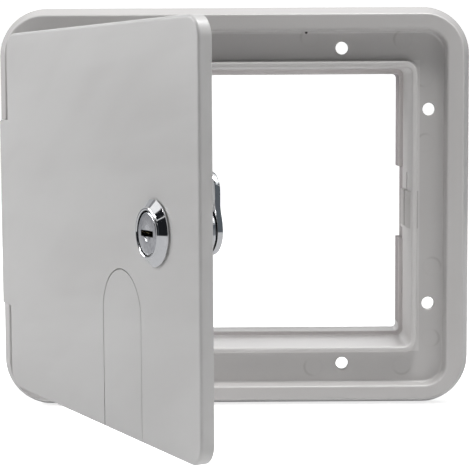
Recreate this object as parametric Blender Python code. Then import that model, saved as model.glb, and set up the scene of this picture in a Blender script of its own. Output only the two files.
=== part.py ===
"""Square access hatch for a caravan's power cord.

A one-piece frame with a recessed floor, a raised collar and a deep throat
carries a flush door on a pin at its left side. A cam lock near the door's
free edge turns a cam into a slot in the throat's wall, and an arch-topped
flap in the door's lower edge swings out to let the cord through.

The wall that the hatch is fixed to is the plane y = 0, the hatch's front
faces -Y, +X runs to the right along its width and +Z is up. The origin lies
on the back of the recess floor, in the middle of its lower strip. The door
stands open and everything on it hangs from the hinge axis.
"""

import math

import bmesh
import bpy
import numpy
from mathutils import Vector

# Frame outline, rim and recess
FRAME_WIDTH = 0.178
FRAME_HEIGHT = 0.1512
FRAME_CORNER = 0.018
RIM_DEPTH = 0.0084
RIM_ROUND = 0.003
RIM_WIDTH = 0.0081
RIM_INNER_ROUND = 0.0009
RING_CORNER = 0.009
WALL = 0.0023
RECESS_DEPTH = 0.0059
RECESS_DRAFT = 0.0004
FLOOR_FILLET = 0.0007
SIDE_DRAFT = 0.00012
ORIGIN_INSET = 0.013

# Collar and throat
COLLAR_INSET = 0.0198
COLLAR_CORNER = 0.0045
COLLAR_CREST_DEPTH = 0.0029
COLLAR_THICKNESS = 0.002
COLLAR_ROUND = 0.0007
THROAT_CORNER = 0.0028
THROAT_DEPTH = 0.0322
THROAT_DRAFT = 0.0002
SLEEVE_STEP = 0.0017
SLEEVE_LENGTH = 0.012
SLEEVE_CORNER = 0.0016
SLEEVE_EDGE = 0.0004

# Screw holes in the recess floor
SCREW_HOLE_RADIUS = 0.00238
SCREW_INSET = 0.015
SCREW_X_ON_LONG_SIDES = 0.0408
SCREW_Z_ON_SHORT_SIDES = 0.0373

# Ribs across the channel behind the rim
RIB_THICKNESS = 0.0015
RIB_BITE = 0.0003
RIB_SETBACK = 0.0006
RIB_X_SPACING = 0.030
RIB_Z_SPACING = 0.030

# Door hinge
HINGE_INSET = 0.0036
HINGE_DEPTH = 0.004
KNUCKLE_LENGTH = 0.070
KNUCKLE_END_GAP = 0.0004
KNUCKLE_SIDE_GAP = 0.0006
HINGE_RELIEF = 0.0002
KNUCKLE_CHAMFER = 0.0005
PIN_RADIUS = 0.0015
PIN_CLEARANCE = 0.0002
PIN_BOSS_LENGTH = 0.0085
PIN_BOSS_SKIN = 0.001
OPEN_ANGLE = math.radians(61.7)

# Door
DOOR_GAP = 0.0013
DOOR_HINGE_GAP = 0.0017
DOOR_FACE = 0.0023
DOOR_SKIRT = 0.0045
DOOR_SKIRT_WALL = 0.0021
DOOR_CORNER = 0.007
DOOR_EDGE_ROUND = 0.0009
DOOR_SKIRT_EDGE = 0.0003

# Cord flap in the door
FLAP_FROM_EDGE = 0.0554
FLAP_RADIUS = 0.0144
FLAP_GAP = 0.0004
FLAP_RISE = 0.0392
FLAP_AXIS_DEPTH = 0.0025
FLAP_BARREL_RADIUS = 0.0019
FLAP_PIN_RADIUS = 0.0008
FLAP_PIN_CLEARANCE = 0.0002
REVEAL_WALL = 0.0016
REVEAL_DEPTH = 0.0043
REVEAL_ABOVE_COLLAR = 0.002
STOP_NIB_REACH = 0.0014
STOP_NIB_HEIGHT = 0.004
STOP_NIB_ABOVE_FOOT = 0.0028

# Lock barrel and plug
LOCK_FROM_EDGE = 0.0299
LOCK_Z = 0.001
PLUG_RADIUS = 0.0059
PLUG_GAP = 0.0002
PLUG_HEAD_LIP = 0.00075
PLUG_HEAD_THICKNESS = 0.001
PLUG_RECESS = 0.0003
BARREL_WALL = 0.0019
BARREL_FLAT_DEPTH = 0.0008
BARREL_LENGTH = 0.0155
BARREL_HOLE_GAP = 0.00025
BEZEL_LIP = 0.0024
BEZEL_HEIGHT = 0.003
BEZEL_EDGE = 0.0004
BEZEL_RING_WIDTH = 0.00095
DISH_RADIUS = 0.0027
DISH_DEPTH = 0.0007
KEYWAY_SIDE = 0.0016
KEYWAY_HEIGHT = 0.0019
KEYWAY_END = 0.0117
TAIL_SIDE = 0.0058
TAIL_GAP = 0.0002

# Wafers inside the plug
WAFER_COUNT = 4
WAFER_FIRST = 0.002
WAFER_PITCH = 0.0024
WAFER_THICKNESS = 0.0009
WAFER_SETBACK = 0.0009
WAFER_HEIGHT = 0.0046
WAFER_WINDOW_GAP = 0.0001
WAFER_SHIFT = 0.00012

# Plates on the lock's tail
SEAT_GAP = 0.0003
STOP_PLATE_THICKNESS = 0.0012
STOP_LUG_THICKNESS = 0.0014
STOP_PLATE_GAP = 0.0006
STOP_TAB_WIDTH = 0.003
STOP_TAB_SETBACK = 0.0003
STOP_LUG_SLACK = math.radians(3)
QUARTER_TURN = math.radians(90)
CAM_THICKNESS = 0.002
CAM_HUB_RADIUS = 0.0076
CAM_HALF_WIDTH = 0.0062
CAM_ENGAGEMENT = 0.001
SPRING_WASHER_RADIUS = 0.0039
SPRING_WASHER_THICKNESS = 0.0005
SCREW_HEAD_RADIUS = 0.0034
SCREW_HEAD_THICKNESS = 0.0012
SCREW_SHANK_RADIUS = 0.0017
SCREW_SHANK_LENGTH = 0.0058
SCREW_SLOT_WIDTH = 0.0009
SCREW_SLOT_DEPTH = 0.0007

# Nut and toothed washer behind the door
LOCK_WASHER_THICKNESS = 0.0008
LOCK_WASHER_WIDTH = 0.0024
LOCK_WASHER_TOOTH = 0.0009
LOCK_WASHER_TEETH = 18
NUT_WALL = 0.0018
NUT_THICKNESS = 0.004
NUT_GAP = 0.0002

# Keeper for the cam in the throat's free-side wall
CAM_SLOT_CLEARANCE = 0.0006
CAM_SLOT_MARGIN = 0.003
KEEPER_PROUD = 0.0011
KEEPER_HEIGHT = 0.0151
KEEPER_Z = -0.0019
KEEPER_RAMP = 0.006
NOTCH_HEIGHT = 0.0287
NOTCH_LAND = 0.0001

# Facets
CORNER_STEPS = 9
ROUND_STEPS = 4
FINE_ROUND_STEPS = 2
HOLE_SIDES = 24
LATHE_SIDES = 40
PIN_SIDES = 20
KNUCKLE_STEPS = 20
ARCH_STEPS = 28
SMOOTH_LIMIT = math.radians(35)

# Positions that follow from the sizes above
HALF_WIDTH = FRAME_WIDTH / 2
HALF_HEIGHT = FRAME_HEIGHT / 2
CENTRE_Z = HALF_HEIGHT - ORIGIN_INSET
FACE_Y = -RIM_DEPTH
FLOOR_Y = FACE_Y + RECESS_DEPTH
CREST_Y = FACE_Y + COLLAR_CREST_DEPTH
STEP_Y = FACE_Y + THROAT_DEPTH
REAR_Y = STEP_Y + SLEEVE_LENGTH
THROAT_INSET = COLLAR_INSET + COLLAR_THICKNESS
SLEEVE_INSET = THROAT_INSET + THROAT_DRAFT + SLEEVE_STEP
HINGE_X = -HALF_WIDTH + HINGE_INSET
HINGE_Y = FACE_Y + HINGE_DEPTH
FREE_EDGE_X = HALF_WIDTH - RIM_WIDTH - DOOR_GAP
DOOR_LEFT = -HALF_WIDTH + RIM_WIDTH + DOOR_HINGE_GAP - HINGE_X
DOOR_RIGHT = FREE_EDGE_X - HINGE_X
DOOR_HALF_HEIGHT = HALF_HEIGHT - RIM_WIDTH - DOOR_GAP
DOOR_FRONT = -HINGE_DEPTH
DOOR_BACK = DOOR_FRONT + DOOR_FACE
LOCK_U = DOOR_RIGHT - LOCK_FROM_EDGE
PLUG_HEAD_RADIUS = PLUG_RADIUS + PLUG_HEAD_LIP
KEYWAY_HALF_WIDTH = PLUG_RADIUS - KEYWAY_SIDE
WAFER_HALF_WIDTH = PLUG_RADIUS - WAFER_SETBACK
BARREL_RADIUS = PLUG_RADIUS + PLUG_GAP + BARREL_WALL
BARREL_FLAT = BARREL_RADIUS - BARREL_FLAT_DEPTH
BEZEL_RADIUS = BARREL_RADIUS + BEZEL_LIP
BEZEL_RING_RADIUS = PLUG_HEAD_RADIUS + PLUG_GAP + BEZEL_RING_WIDTH
STOP_LUG_INNER = BARREL_RADIUS - STOP_LUG_THICKNESS
STOP_PLATE_RADIUS = STOP_LUG_INNER - STOP_PLATE_GAP
NUT_BORE = BARREL_RADIUS + NUT_GAP
FLAP_U = DOOR_RIGHT - FLAP_FROM_EDGE
FLAP_AXIS_Z = -DOOR_HALF_HEIGHT + FLAP_RISE
PLUG_END = BARREL_LENGTH + SEAT_GAP
STOP_PLATE_START = PLUG_END + SEAT_GAP
CAM_START = STOP_PLATE_START + STOP_PLATE_THICKNESS + SEAT_GAP
CAM_END = CAM_START + CAM_THICKNESS
SPRING_WASHER_START = CAM_END + SEAT_GAP
SCREW_HEAD_START = SPRING_WASHER_START + SPRING_WASHER_THICKNESS + SEAT_GAP
LOCK_WASHER_START = DOOR_FACE + SEAT_GAP
NUT_START = LOCK_WASHER_START + LOCK_WASHER_THICKNESS + SEAT_GAP
WALL_DISTANCE = HALF_WIDTH - THROAT_INSET - (FREE_EDGE_X - LOCK_FROM_EDGE)
CAM_REACH = WALL_DISTANCE + CAM_ENGAGEMENT


def clear_scene():
    """Remove whatever the scene starts with."""
    for item in list(bpy.data.objects):
        bpy.data.objects.remove(item)


def make_material(name, colour, roughness, metallic):
    """A Principled material with plain values."""
    material = bpy.data.materials.new(name)
    material.use_nodes = True
    shader = material.node_tree.nodes["Principled BSDF"]
    shader.inputs["Base Color"].default_value = (*colour, 1.0)
    shader.inputs["Roughness"].default_value = roughness
    shader.inputs["Metallic"].default_value = metallic
    return material


def object_from(name, bm, material=None):
    """Turn a bmesh into an object with its faces pointing out."""
    bmesh.ops.recalc_face_normals(bm, faces=bm.faces)
    mesh = bpy.data.meshes.new(name)
    bm.to_mesh(mesh)
    bm.free()
    item = bpy.data.objects.new(name, mesh)
    bpy.context.scene.collection.objects.link(item)
    if material:
        mesh.materials.append(material)
    return item


def combine(target, tool, operation):
    """Join, cut or intersect target with tool and drop the tool."""
    modifier = target.modifiers.new("Shape", "BOOLEAN")
    modifier.operation = operation
    modifier.solver = "EXACT"
    modifier.object = tool
    tool.hide_render = True
    tool.display_type = "WIRE"
    graph = bpy.context.evaluated_depsgraph_get()
    result = bpy.data.meshes.new_from_object(target.evaluated_get(graph))
    target.modifiers.clear()
    target.data = result
    bpy.data.objects.remove(tool)


def finish_object(item, material):
    """Give a solid its material and smooth shading with sharp edges kept."""
    item.data.materials.clear()
    item.data.materials.append(material)
    item.data.shade_smooth()
    item.data.set_sharp_from_angle(angle=SMOOTH_LIMIT)


def rounded_rectangle(half_width, half_height, radius):
    """Points of a rounded rectangle in X and Z, the same count at any size."""
    points = []
    corners = ((1, 1, 0), (-1, 1, 90), (-1, -1, 180), (1, -1, 270))
    for side_x, side_z, start in corners:
        centre_x = side_x * (half_width - radius)
        centre_z = side_z * (half_height - radius)
        for step in range(CORNER_STEPS + 1):
            angle = math.radians(start + 90 * step / CORNER_STEPS)
            x = centre_x + radius * math.cos(angle)
            z = centre_z + radius * math.sin(angle)
            points.append((x, z))
    return points


def loft(loops, ring):
    """Skin neighbouring loops of points, closing the ends or joining them."""
    bm = bmesh.new()
    rows = [[bm.verts.new(point) for point in loop] for loop in loops]
    pairs = list(zip(rows, rows[1:]))
    if ring:
        pairs.append((rows[-1], rows[0]))
    for first, second in pairs:
        count = len(first)
        for index in range(count):
            following = (index + 1) % count
            bm.faces.new((first[index], first[following], second[following], second[index]))
    if not ring:
        bm.faces.new(rows[0])
        bm.faces.new(rows[-1])
    return bm


def box(name, low, high):
    """A box between two corners."""
    bm = bmesh.new()
    bmesh.ops.create_cube(bm, size=1.0)
    low = Vector(low)
    high = Vector(high)
    size = high - low
    bmesh.ops.scale(bm, vec=size, verts=bm.verts)
    bmesh.ops.translate(bm, vec=(low + high) / 2, verts=bm.verts)
    return object_from(name, bm)


def prism(name, outline, axis, start, end):
    """Extrude a flat outline along one axis.

    The outline's two numbers are the other two axes in X, Y, Z order.
    """
    loops = []
    for level in (start, end):
        loop = []
        for first, second in outline:
            point = [first, second]
            point.insert("XYZ".index(axis), level)
            loop.append(point)
        loops.append(loop)
    return object_from(name, loft(loops, ring=False))


def circle_outline(radius, sides, centre=(0.0, 0.0)):
    """Points round a circle."""
    points = []
    for index in range(sides):
        angle = 2 * math.pi * index / sides
        points.append((centre[0] + radius * math.cos(angle), centre[1] + radius * math.sin(angle)))
    return points


def rod(name, radius, axis, start, end, centre=(0.0, 0.0), sides=PIN_SIDES):
    """A plain cylinder along one axis."""
    return prism(name, circle_outline(radius, sides, centre), axis, start, end)


def lathe(name, profile, ring=False, sides=LATHE_SIDES):
    """Turn (radius, depth) pairs round the Y axis into a solid or a ring."""
    loops = []
    for radius, depth in profile:
        loops.append([(x, depth, z) for x, z in circle_outline(radius, sides)])
    return object_from(name, loft(loops, ring))


def arc(centre, radius, start, end, steps):
    """Points of an arc, angles in degrees, both ends included."""
    points = []
    for step in range(steps + 1):
        angle = math.radians(start + (end - start) * step / steps)
        points.append((centre[0] + radius * math.cos(angle), centre[1] + radius * math.sin(angle)))
    return points


def frame_corner(inset):
    """Corner radius of the frame's outline at a distance in from its edge."""
    sleeve_corner_inset = max(SLEEVE_INSET, THROAT_INSET + SLEEVE_EDGE)
    insets = (0.0, RIM_WIDTH, COLLAR_INSET, THROAT_INSET, sleeve_corner_inset)
    radii = (FRAME_CORNER, RING_CORNER, COLLAR_CORNER, THROAT_CORNER, SLEEVE_CORNER)
    return float(numpy.interp(inset, insets, radii))


def frame_profile():
    """The frame's section as (inset from the outer edge, y) pairs, in order."""
    recess_foot = RIM_WIDTH + RECESS_DRAFT
    throat_outside = COLLAR_INSET + SIDE_DRAFT
    channel_roof = FACE_Y + WALL
    channel_inner = RIM_WIDTH - WALL
    points = [(0.0, 0.0)]
    points += arc((RIM_ROUND + SIDE_DRAFT, FACE_Y + RIM_ROUND), RIM_ROUND, 180, 270, ROUND_STEPS)
    points += arc((RIM_WIDTH - RIM_INNER_ROUND, FACE_Y + RIM_INNER_ROUND), RIM_INNER_ROUND,
                  270, 360, ROUND_STEPS)
    points += arc((recess_foot + FLOOR_FILLET, FLOOR_Y - FLOOR_FILLET), FLOOR_FILLET,
                  180, 90, FINE_ROUND_STEPS)
    points += arc((COLLAR_INSET - SIDE_DRAFT - FLOOR_FILLET, FLOOR_Y - FLOOR_FILLET), FLOOR_FILLET,
                  90, 0, FINE_ROUND_STEPS)
    points += arc((COLLAR_INSET + COLLAR_ROUND, CREST_Y + COLLAR_ROUND), COLLAR_ROUND,
                  180, 270, FINE_ROUND_STEPS)
    points += arc((THROAT_INSET - COLLAR_ROUND, CREST_Y + COLLAR_ROUND), COLLAR_ROUND,
                  270, 360, FINE_ROUND_STEPS)
    points.append((THROAT_INSET + THROAT_DRAFT, STEP_Y))
    points += arc((SLEEVE_INSET - SLEEVE_EDGE, STEP_Y + SLEEVE_EDGE), SLEEVE_EDGE,
                  270, 360, FINE_ROUND_STEPS)
    points += arc((SLEEVE_INSET - SLEEVE_EDGE, REAR_Y - SLEEVE_EDGE), SLEEVE_EDGE,
                  0, 90, FINE_ROUND_STEPS)
    points += arc((throat_outside + SLEEVE_EDGE, REAR_Y - SLEEVE_EDGE), SLEEVE_EDGE,
                  90, 180, FINE_ROUND_STEPS)
    points.append((COLLAR_INSET, 0.0))
    points.append((channel_inner, 0.0))
    points.append((channel_inner - SIDE_DRAFT, channel_roof))
    points.append((WALL + SIDE_DRAFT, channel_roof))
    points.append((WALL, 0.0))
    return points


def channel_ribs():
    """Webs that stiffen the hollow rim, standing clear of the hinge."""
    near = WALL - RIB_BITE
    far = RIM_WIDTH - WALL + RIB_BITE
    top = FACE_Y + WALL - RIB_BITE
    bottom = -RIB_SETBACK
    half = RIB_THICKNESS / 2
    ribs = []
    for step in (-2, -1, 0, 1, 2):
        x = step * RIB_X_SPACING
        for side in (-1, 1):
            z_ends = sorted((side * (HALF_HEIGHT - near), side * (HALF_HEIGHT - far)))
            ribs.append(((x - half, top, z_ends[0]), (x + half, bottom, z_ends[1])))
    for step in (-1.5, -0.5, 0.5, 1.5):
        z = step * RIB_Z_SPACING
        ribs.append(((HALF_WIDTH - far, top, z - half), (HALF_WIDTH - near, bottom, z + half)))
    return ribs


def build_frame():
    """The one-piece frame: rim, recess, collar, throat, keeper and hinge bosses."""
    loops = []
    for inset, y in frame_profile():
        outline = rounded_rectangle(HALF_WIDTH - inset, HALF_HEIGHT - inset, frame_corner(inset))
        loops.append([(x, y, z) for x, z in outline])
    frame = object_from("frame", loft(loops, ring=True))

    for low, high in channel_ribs():
        combine(frame, box("rib", low, high), "UNION")

    boss_near = -HALF_WIDTH + WALL - RIB_BITE
    boss_far = -HALF_WIDTH + RIM_WIDTH - WALL + RIB_BITE
    boss_start = KNUCKLE_LENGTH / 2
    boss_end = boss_start + KNUCKLE_END_GAP + PIN_BOSS_LENGTH
    boss_top = FACE_Y + WALL - RIB_BITE
    for low_z, high_z in ((boss_start, boss_end), (-boss_end, -boss_start)):
        boss = box("boss", (boss_near, boss_top, low_z), (boss_far, -RIB_SETBACK, high_z))
        combine(frame, boss, "UNION")

    wall_x = HALF_WIDTH - THROAT_INSET
    keeper_face = wall_x - KEEPER_PROUD
    keeper_root = wall_x + KEEPER_PROUD
    keeper_start = CREST_Y + COLLAR_ROUND + SEAT_GAP
    keeper_end = REAR_Y - SLEEVE_EDGE - SEAT_GAP
    notch_x = wall_x - THROAT_DRAFT - NOTCH_LAND
    notch = box("notch", (HALF_WIDTH - SLEEVE_INSET - SLEEVE_STEP, STEP_Y - SLEEVE_EDGE, -NOTCH_HEIGHT / 2),
                (notch_x, REAR_Y + SLEEVE_EDGE, NOTCH_HEIGHT / 2))
    combine(frame, notch, "DIFFERENCE")
    keeper_outline = ((keeper_root, keeper_start), (wall_x, keeper_start),
                      (keeper_face, keeper_start + KEEPER_RAMP), (keeper_face, keeper_end),
                      (keeper_root, keeper_end))
    keeper = prism("keeper", keeper_outline, "Z", KEEPER_Z - KEEPER_HEIGHT / 2, KEEPER_Z + KEEPER_HEIGHT / 2)
    combine(frame, keeper, "UNION")

    keeper_distance = WALL_DISTANCE - KEEPER_PROUD
    sweep_height = math.sqrt(max(CAM_REACH ** 2 - keeper_distance ** 2, 0.0))
    slot_low = LOCK_Z - CAM_HALF_WIDTH - CAM_SLOT_MARGIN
    slot_high = LOCK_Z + max(sweep_height, CAM_HALF_WIDTH) + CAM_SLOT_MARGIN
    slot_start = FACE_Y + CAM_START - CAM_SLOT_CLEARANCE
    slot_end = FACE_Y + CAM_END + CAM_SLOT_CLEARANCE
    slot = box("slot", (keeper_face - KEEPER_PROUD, slot_start, slot_low),
               (HALF_WIDTH - COLLAR_INSET + COLLAR_THICKNESS, slot_end, slot_high))
    combine(frame, slot, "DIFFERENCE")

    cut_reach = KNUCKLE_LENGTH / 2 + KNUCKLE_END_GAP
    outside = -HALF_WIDTH - RIM_ROUND
    recess_side = -HALF_WIDTH + RIM_WIDTH + RECESS_DRAFT + FLOOR_FILLET + HINGE_RELIEF
    knuckle_side = HINGE_X + HINGE_DEPTH + KNUCKLE_SIDE_GAP
    cut_outline = ((outside, FACE_Y - RIM_ROUND), (recess_side, FACE_Y - RIM_ROUND),
                   (recess_side, FLOOR_Y + HINGE_RELIEF), (knuckle_side, FLOOR_Y + HINGE_RELIEF),
                   (knuckle_side, RIM_ROUND), (outside, RIM_ROUND))
    combine(frame, prism("cut", cut_outline, "Z", -cut_reach, cut_reach), "DIFFERENCE")

    pin_hole_end = boss_end - PIN_BOSS_SKIN
    pin_hole = rod("hole", PIN_RADIUS + PIN_CLEARANCE, "Z", -pin_hole_end, pin_hole_end, (HINGE_X, HINGE_Y))
    combine(frame, pin_hole, "DIFFERENCE")

    screw_points = []
    for side_x in (-1, 1):
        for side_z in (-1, 1):
            screw_points.append((side_x * SCREW_X_ON_LONG_SIDES, side_z * (HALF_HEIGHT - SCREW_INSET)))
            screw_points.append((side_x * (HALF_WIDTH - SCREW_INSET), side_z * SCREW_Z_ON_SHORT_SIDES))
    for point in screw_points:
        hole = rod("hole", SCREW_HOLE_RADIUS, "Y", FLOOR_Y - WALL, WALL, point, HOLE_SIDES)
        combine(frame, hole, "DIFFERENCE")
    return frame


def tray(name):
    """The door's dished panel in closed position, seen from the hinge axis."""
    middle = (DOOR_LEFT + DOOR_RIGHT) / 2
    half_width = (DOOR_RIGHT - DOOR_LEFT) / 2
    skirt_end = DOOR_FRONT + DOOR_SKIRT
    sections = [(DOOR_EDGE_ROUND - dx, DOOR_FRONT + DOOR_EDGE_ROUND - dy)
                for dx, dy in arc((0.0, 0.0), DOOR_EDGE_ROUND, 90, 0, ROUND_STEPS)]
    sections.append((0.0, skirt_end - DOOR_SKIRT_EDGE))
    sections.append((DOOR_SKIRT_EDGE, skirt_end))
    sections.append((DOOR_SKIRT_WALL - DOOR_SKIRT_EDGE, skirt_end))
    sections.append((DOOR_SKIRT_WALL, skirt_end - DOOR_SKIRT_EDGE))
    sections.append((DOOR_SKIRT_WALL, DOOR_BACK + DOOR_SKIRT_EDGE))
    sections.append((DOOR_SKIRT_WALL + DOOR_SKIRT_EDGE, DOOR_BACK))
    loops = []
    for inset, y in sections:
        outline = rounded_rectangle(half_width - inset, DOOR_HALF_HEIGHT - inset, DOOR_CORNER - inset)
        loops.append([(middle + x, y, z) for x, z in outline])
    return object_from(name, loft(loops, ring=False))


def arch_outline(radius, bottom):
    """An arch with its spring line on the flap's axis and its foot at bottom."""
    points = arc((FLAP_U, FLAP_AXIS_Z), radius, 0, 180, ARCH_STEPS)
    points.append((FLAP_U - radius, bottom))
    points.append((FLAP_U + radius, bottom))
    return points


def double_d_outline(radius, flat):
    """A circle with two flats at its left and right."""
    limit = math.degrees(math.acos(min(flat / radius, 1.0)))
    points = arc((0.0, 0.0), radius, limit, 180 - limit, LATHE_SIDES // 2)
    points += arc((0.0, 0.0), radius, 180 + limit, 360 - limit, LATHE_SIDES // 2)
    return points


def build_door():
    """The door: panel, skirt, hinge knuckle, flap opening with its reveal, lock hole."""
    door = tray("door")
    half_knuckle = KNUCKLE_LENGTH / 2
    leaf_end = DOOR_LEFT + DOOR_SKIRT_WALL
    join_angle = math.degrees(math.asin(DOOR_BACK / HINGE_DEPTH))
    leaf_outline = [(leaf_end, DOOR_FRONT)]
    leaf_outline += arc((0.0, 0.0), HINGE_DEPTH, 270, join_angle, KNUCKLE_STEPS)
    leaf_outline.append((leaf_end, DOOR_BACK))
    centre = Vector((leaf_end, DOOR_BACK / 2))
    loops = []
    ends = ((-half_knuckle, True), (-half_knuckle + KNUCKLE_CHAMFER, False),
            (half_knuckle - KNUCKLE_CHAMFER, False), (half_knuckle, True))
    for z, drawn_in in ends:
        loop = []
        for x, y in leaf_outline:
            point = Vector((x, y))
            if drawn_in and math.hypot(x, y) <= HINGE_DEPTH + SIDE_DRAFT:
                point += (centre - point).normalized() * KNUCKLE_CHAMFER / 2
            loop.append((point.x, min(max(point.y, DOOR_FRONT), HINGE_DEPTH), z))
        loops.append(loop)
    combine(door, object_from("leaf", loft(loops, ring=False)), "UNION")

    opening = FLAP_RADIUS + FLAP_GAP
    reveal_foot = -(HALF_HEIGHT - THROAT_INSET) + REVEAL_ABOVE_COLLAR
    reveal_end = DOOR_FRONT + REVEAL_DEPTH
    reveal = prism("reveal", arch_outline(opening + REVEAL_WALL, reveal_foot), "Y",
                   DOOR_BACK - SIDE_DRAFT, reveal_end)
    combine(door, reveal, "UNION")
    way = prism("way", arch_outline(opening, -DOOR_HALF_HEIGHT - DOOR_SKIRT), "Y",
                DOOR_FRONT - DOOR_SKIRT, reveal_end + DOOR_SKIRT)
    combine(door, way, "DIFFERENCE")
    nib_foot = reveal_foot + STOP_NIB_ABOVE_FOOT
    for side in (-1, 1):
        ends = sorted((FLAP_U + side * (opening + FLAP_GAP), FLAP_U + side * (opening - STOP_NIB_REACH)))
        nib = box("nib", (ends[0], DOOR_BACK + SEAT_GAP, nib_foot),
                  (ends[1], reveal_end, nib_foot + STOP_NIB_HEIGHT))
        combine(door, nib, "UNION")

    axis_y = DOOR_FRONT + FLAP_AXIS_DEPTH
    half_pin_way = opening + REVEAL_WALL + FLAP_GAP
    pin_way = rod("hole", FLAP_PIN_RADIUS + FLAP_PIN_CLEARANCE, "X", FLAP_U - half_pin_way,
                  FLAP_U + half_pin_way, (axis_y, FLAP_AXIS_Z))
    combine(door, pin_way, "DIFFERENCE")

    lock_outline = double_d_outline(BARREL_RADIUS + BARREL_HOLE_GAP, BARREL_FLAT + BARREL_HOLE_GAP)
    lock_outline = [(LOCK_U + x, LOCK_Z + z) for x, z in lock_outline]
    combine(door, prism("hole", lock_outline, "Y", DOOR_FRONT - DOOR_FACE, DOOR_BACK + DOOR_FACE), "DIFFERENCE")

    bore_reach = half_knuckle + KNUCKLE_END_GAP
    combine(door, rod("bore", PIN_RADIUS + PIN_CLEARANCE, "Z", -bore_reach, bore_reach), "DIFFERENCE")
    return door


def build_flap():
    """The cord flap, cut from the door's own form so that the two lie flush."""
    flap = tray("cord_flap")
    body = prism("body", arch_outline(FLAP_RADIUS, -DOOR_HALF_HEIGHT - DOOR_SKIRT), "Y",
                 DOOR_FRONT - DOOR_SKIRT, DOOR_FRONT + DOOR_SKIRT + DOOR_SKIRT)
    combine(flap, body, "INTERSECT")
    axis_y = DOOR_FRONT + FLAP_AXIS_DEPTH
    axis_centre = (axis_y, FLAP_AXIS_Z)
    half_barrel = FLAP_RADIUS - FLAP_GAP
    barrel = rod("barrel", FLAP_BARREL_RADIUS, "X", FLAP_U - half_barrel, FLAP_U + half_barrel, axis_centre)
    combine(flap, barrel, "UNION")
    half_bore = FLAP_RADIUS + FLAP_GAP
    bore = rod("bore", FLAP_PIN_RADIUS + FLAP_PIN_CLEARANCE, "X", FLAP_U - half_bore, FLAP_U + half_bore, axis_centre)
    combine(flap, bore, "DIFFERENCE")
    shift = Vector((-FLAP_U, -axis_y, -FLAP_AXIS_Z))
    for vertex in flap.data.vertices:
        vertex.co += shift
    return flap


def build_housing():
    """The lock's barrel with its conical bezel, two flats and the stop lug."""
    bore = PLUG_RADIUS + PLUG_GAP
    counterbore = PLUG_HEAD_RADIUS + PLUG_GAP
    counterbore_floor = -BEZEL_HEIGHT + PLUG_RECESS + PLUG_HEAD_THICKNESS + SEAT_GAP
    profile = (
        (counterbore, -BEZEL_HEIGHT),
        (BEZEL_RING_RADIUS, -BEZEL_HEIGHT),
        (BEZEL_RADIUS - BEZEL_EDGE, -SEAT_GAP - 2 * BEZEL_EDGE),
        (BEZEL_RADIUS, -SEAT_GAP - BEZEL_EDGE),
        (BEZEL_RADIUS, -SEAT_GAP),
        (BARREL_RADIUS, -SEAT_GAP),
        (BARREL_RADIUS, BARREL_LENGTH),
        (bore, BARREL_LENGTH),
        (bore, counterbore_floor),
        (counterbore, counterbore_floor),
    )
    housing = lathe("lock_housing", profile, ring=True)

    tab_half = math.atan2(STOP_TAB_WIDTH / 2, STOP_LUG_INNER)
    tab_at_rest = -QUARTER_TURN
    lug_start = math.degrees(tab_at_rest + tab_half + STOP_LUG_SLACK)
    lug_end = math.degrees(tab_at_rest - QUARTER_TURN - tab_half - STOP_LUG_SLACK) + 360
    lug_outline = arc((0.0, 0.0), BARREL_RADIUS, lug_start, lug_end, LATHE_SIDES // 2)
    lug_outline += arc((0.0, 0.0), STOP_LUG_INNER, lug_end, lug_start, LATHE_SIDES // 2)
    lug_end_depth = STOP_PLATE_START + STOP_PLATE_THICKNESS - SIDE_DRAFT
    combine(housing, prism("lug", lug_outline, "Y", BARREL_LENGTH - SIDE_DRAFT, lug_end_depth), "UNION")
    for side in (-1, 1):
        ends = sorted((side * BARREL_FLAT, side * (BARREL_RADIUS + BARREL_HOLE_GAP)))
        flat = box("flat", (ends[0], -SEAT_GAP - SIDE_DRAFT, -BARREL_RADIUS),
                   (ends[1], lug_end_depth + WALL, BARREL_RADIUS))
        combine(housing, flat, "DIFFERENCE")
    return housing


def build_plug():
    """The turning plug: dished head with keyway, slots for the wafers and a square tail."""
    head_front = -BEZEL_HEIGHT + PLUG_RECESS
    head_back = head_front + PLUG_HEAD_THICKNESS
    profile = (
        (PLUG_HEAD_RADIUS - PLUG_RECESS, head_front),
        (PLUG_HEAD_RADIUS, head_front + PLUG_RECESS),
        (PLUG_HEAD_RADIUS, head_back),
        (PLUG_RADIUS, head_back),
        (PLUG_RADIUS, PLUG_END),
    )
    plug = lathe("lock_plug", profile)
    half_tail = TAIL_SIDE / 2
    tail = box("tail", (-half_tail, PLUG_END - SEAT_GAP, -half_tail), (half_tail, CAM_END - TAIL_GAP, half_tail))
    combine(plug, tail, "UNION")
    ball = (DISH_RADIUS ** 2 + DISH_DEPTH ** 2) / (2 * DISH_DEPTH)
    reach = math.degrees(math.acos(1 - (DISH_DEPTH + SEAT_GAP) / ball))
    bowl = arc((0.0, head_front + DISH_DEPTH - ball), ball, 90 - reach, 90 - reach / ROUND_STEPS, ROUND_STEPS)
    combine(plug, lathe("dish", bowl, sides=HOLE_SIDES), "DIFFERENCE")
    keyway = box("keyway", (-KEYWAY_HALF_WIDTH, head_front - SEAT_GAP, -KEYWAY_HEIGHT / 2),
                 (KEYWAY_HALF_WIDTH, KEYWAY_END, KEYWAY_HEIGHT / 2))
    combine(plug, keyway, "DIFFERENCE")
    half_slot = WAFER_THICKNESS / 2 + SEAT_GAP
    slot_top = WAFER_HEIGHT / 2 + SEAT_GAP
    for index in range(WAFER_COUNT):
        depth = WAFER_FIRST + index * WAFER_PITCH
        slot = box("slot", (-BARREL_RADIUS, depth - half_slot, -slot_top),
                   (BARREL_RADIUS, depth + half_slot, slot_top))
        combine(plug, slot, "DIFFERENCE")
    thread = rod("thread", SCREW_SHANK_RADIUS + TAIL_GAP, "Y",
                 SCREW_HEAD_START - SCREW_SHANK_LENGTH - SEAT_GAP, SCREW_HEAD_START)
    combine(plug, thread, "DIFFERENCE")
    return plug


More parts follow.
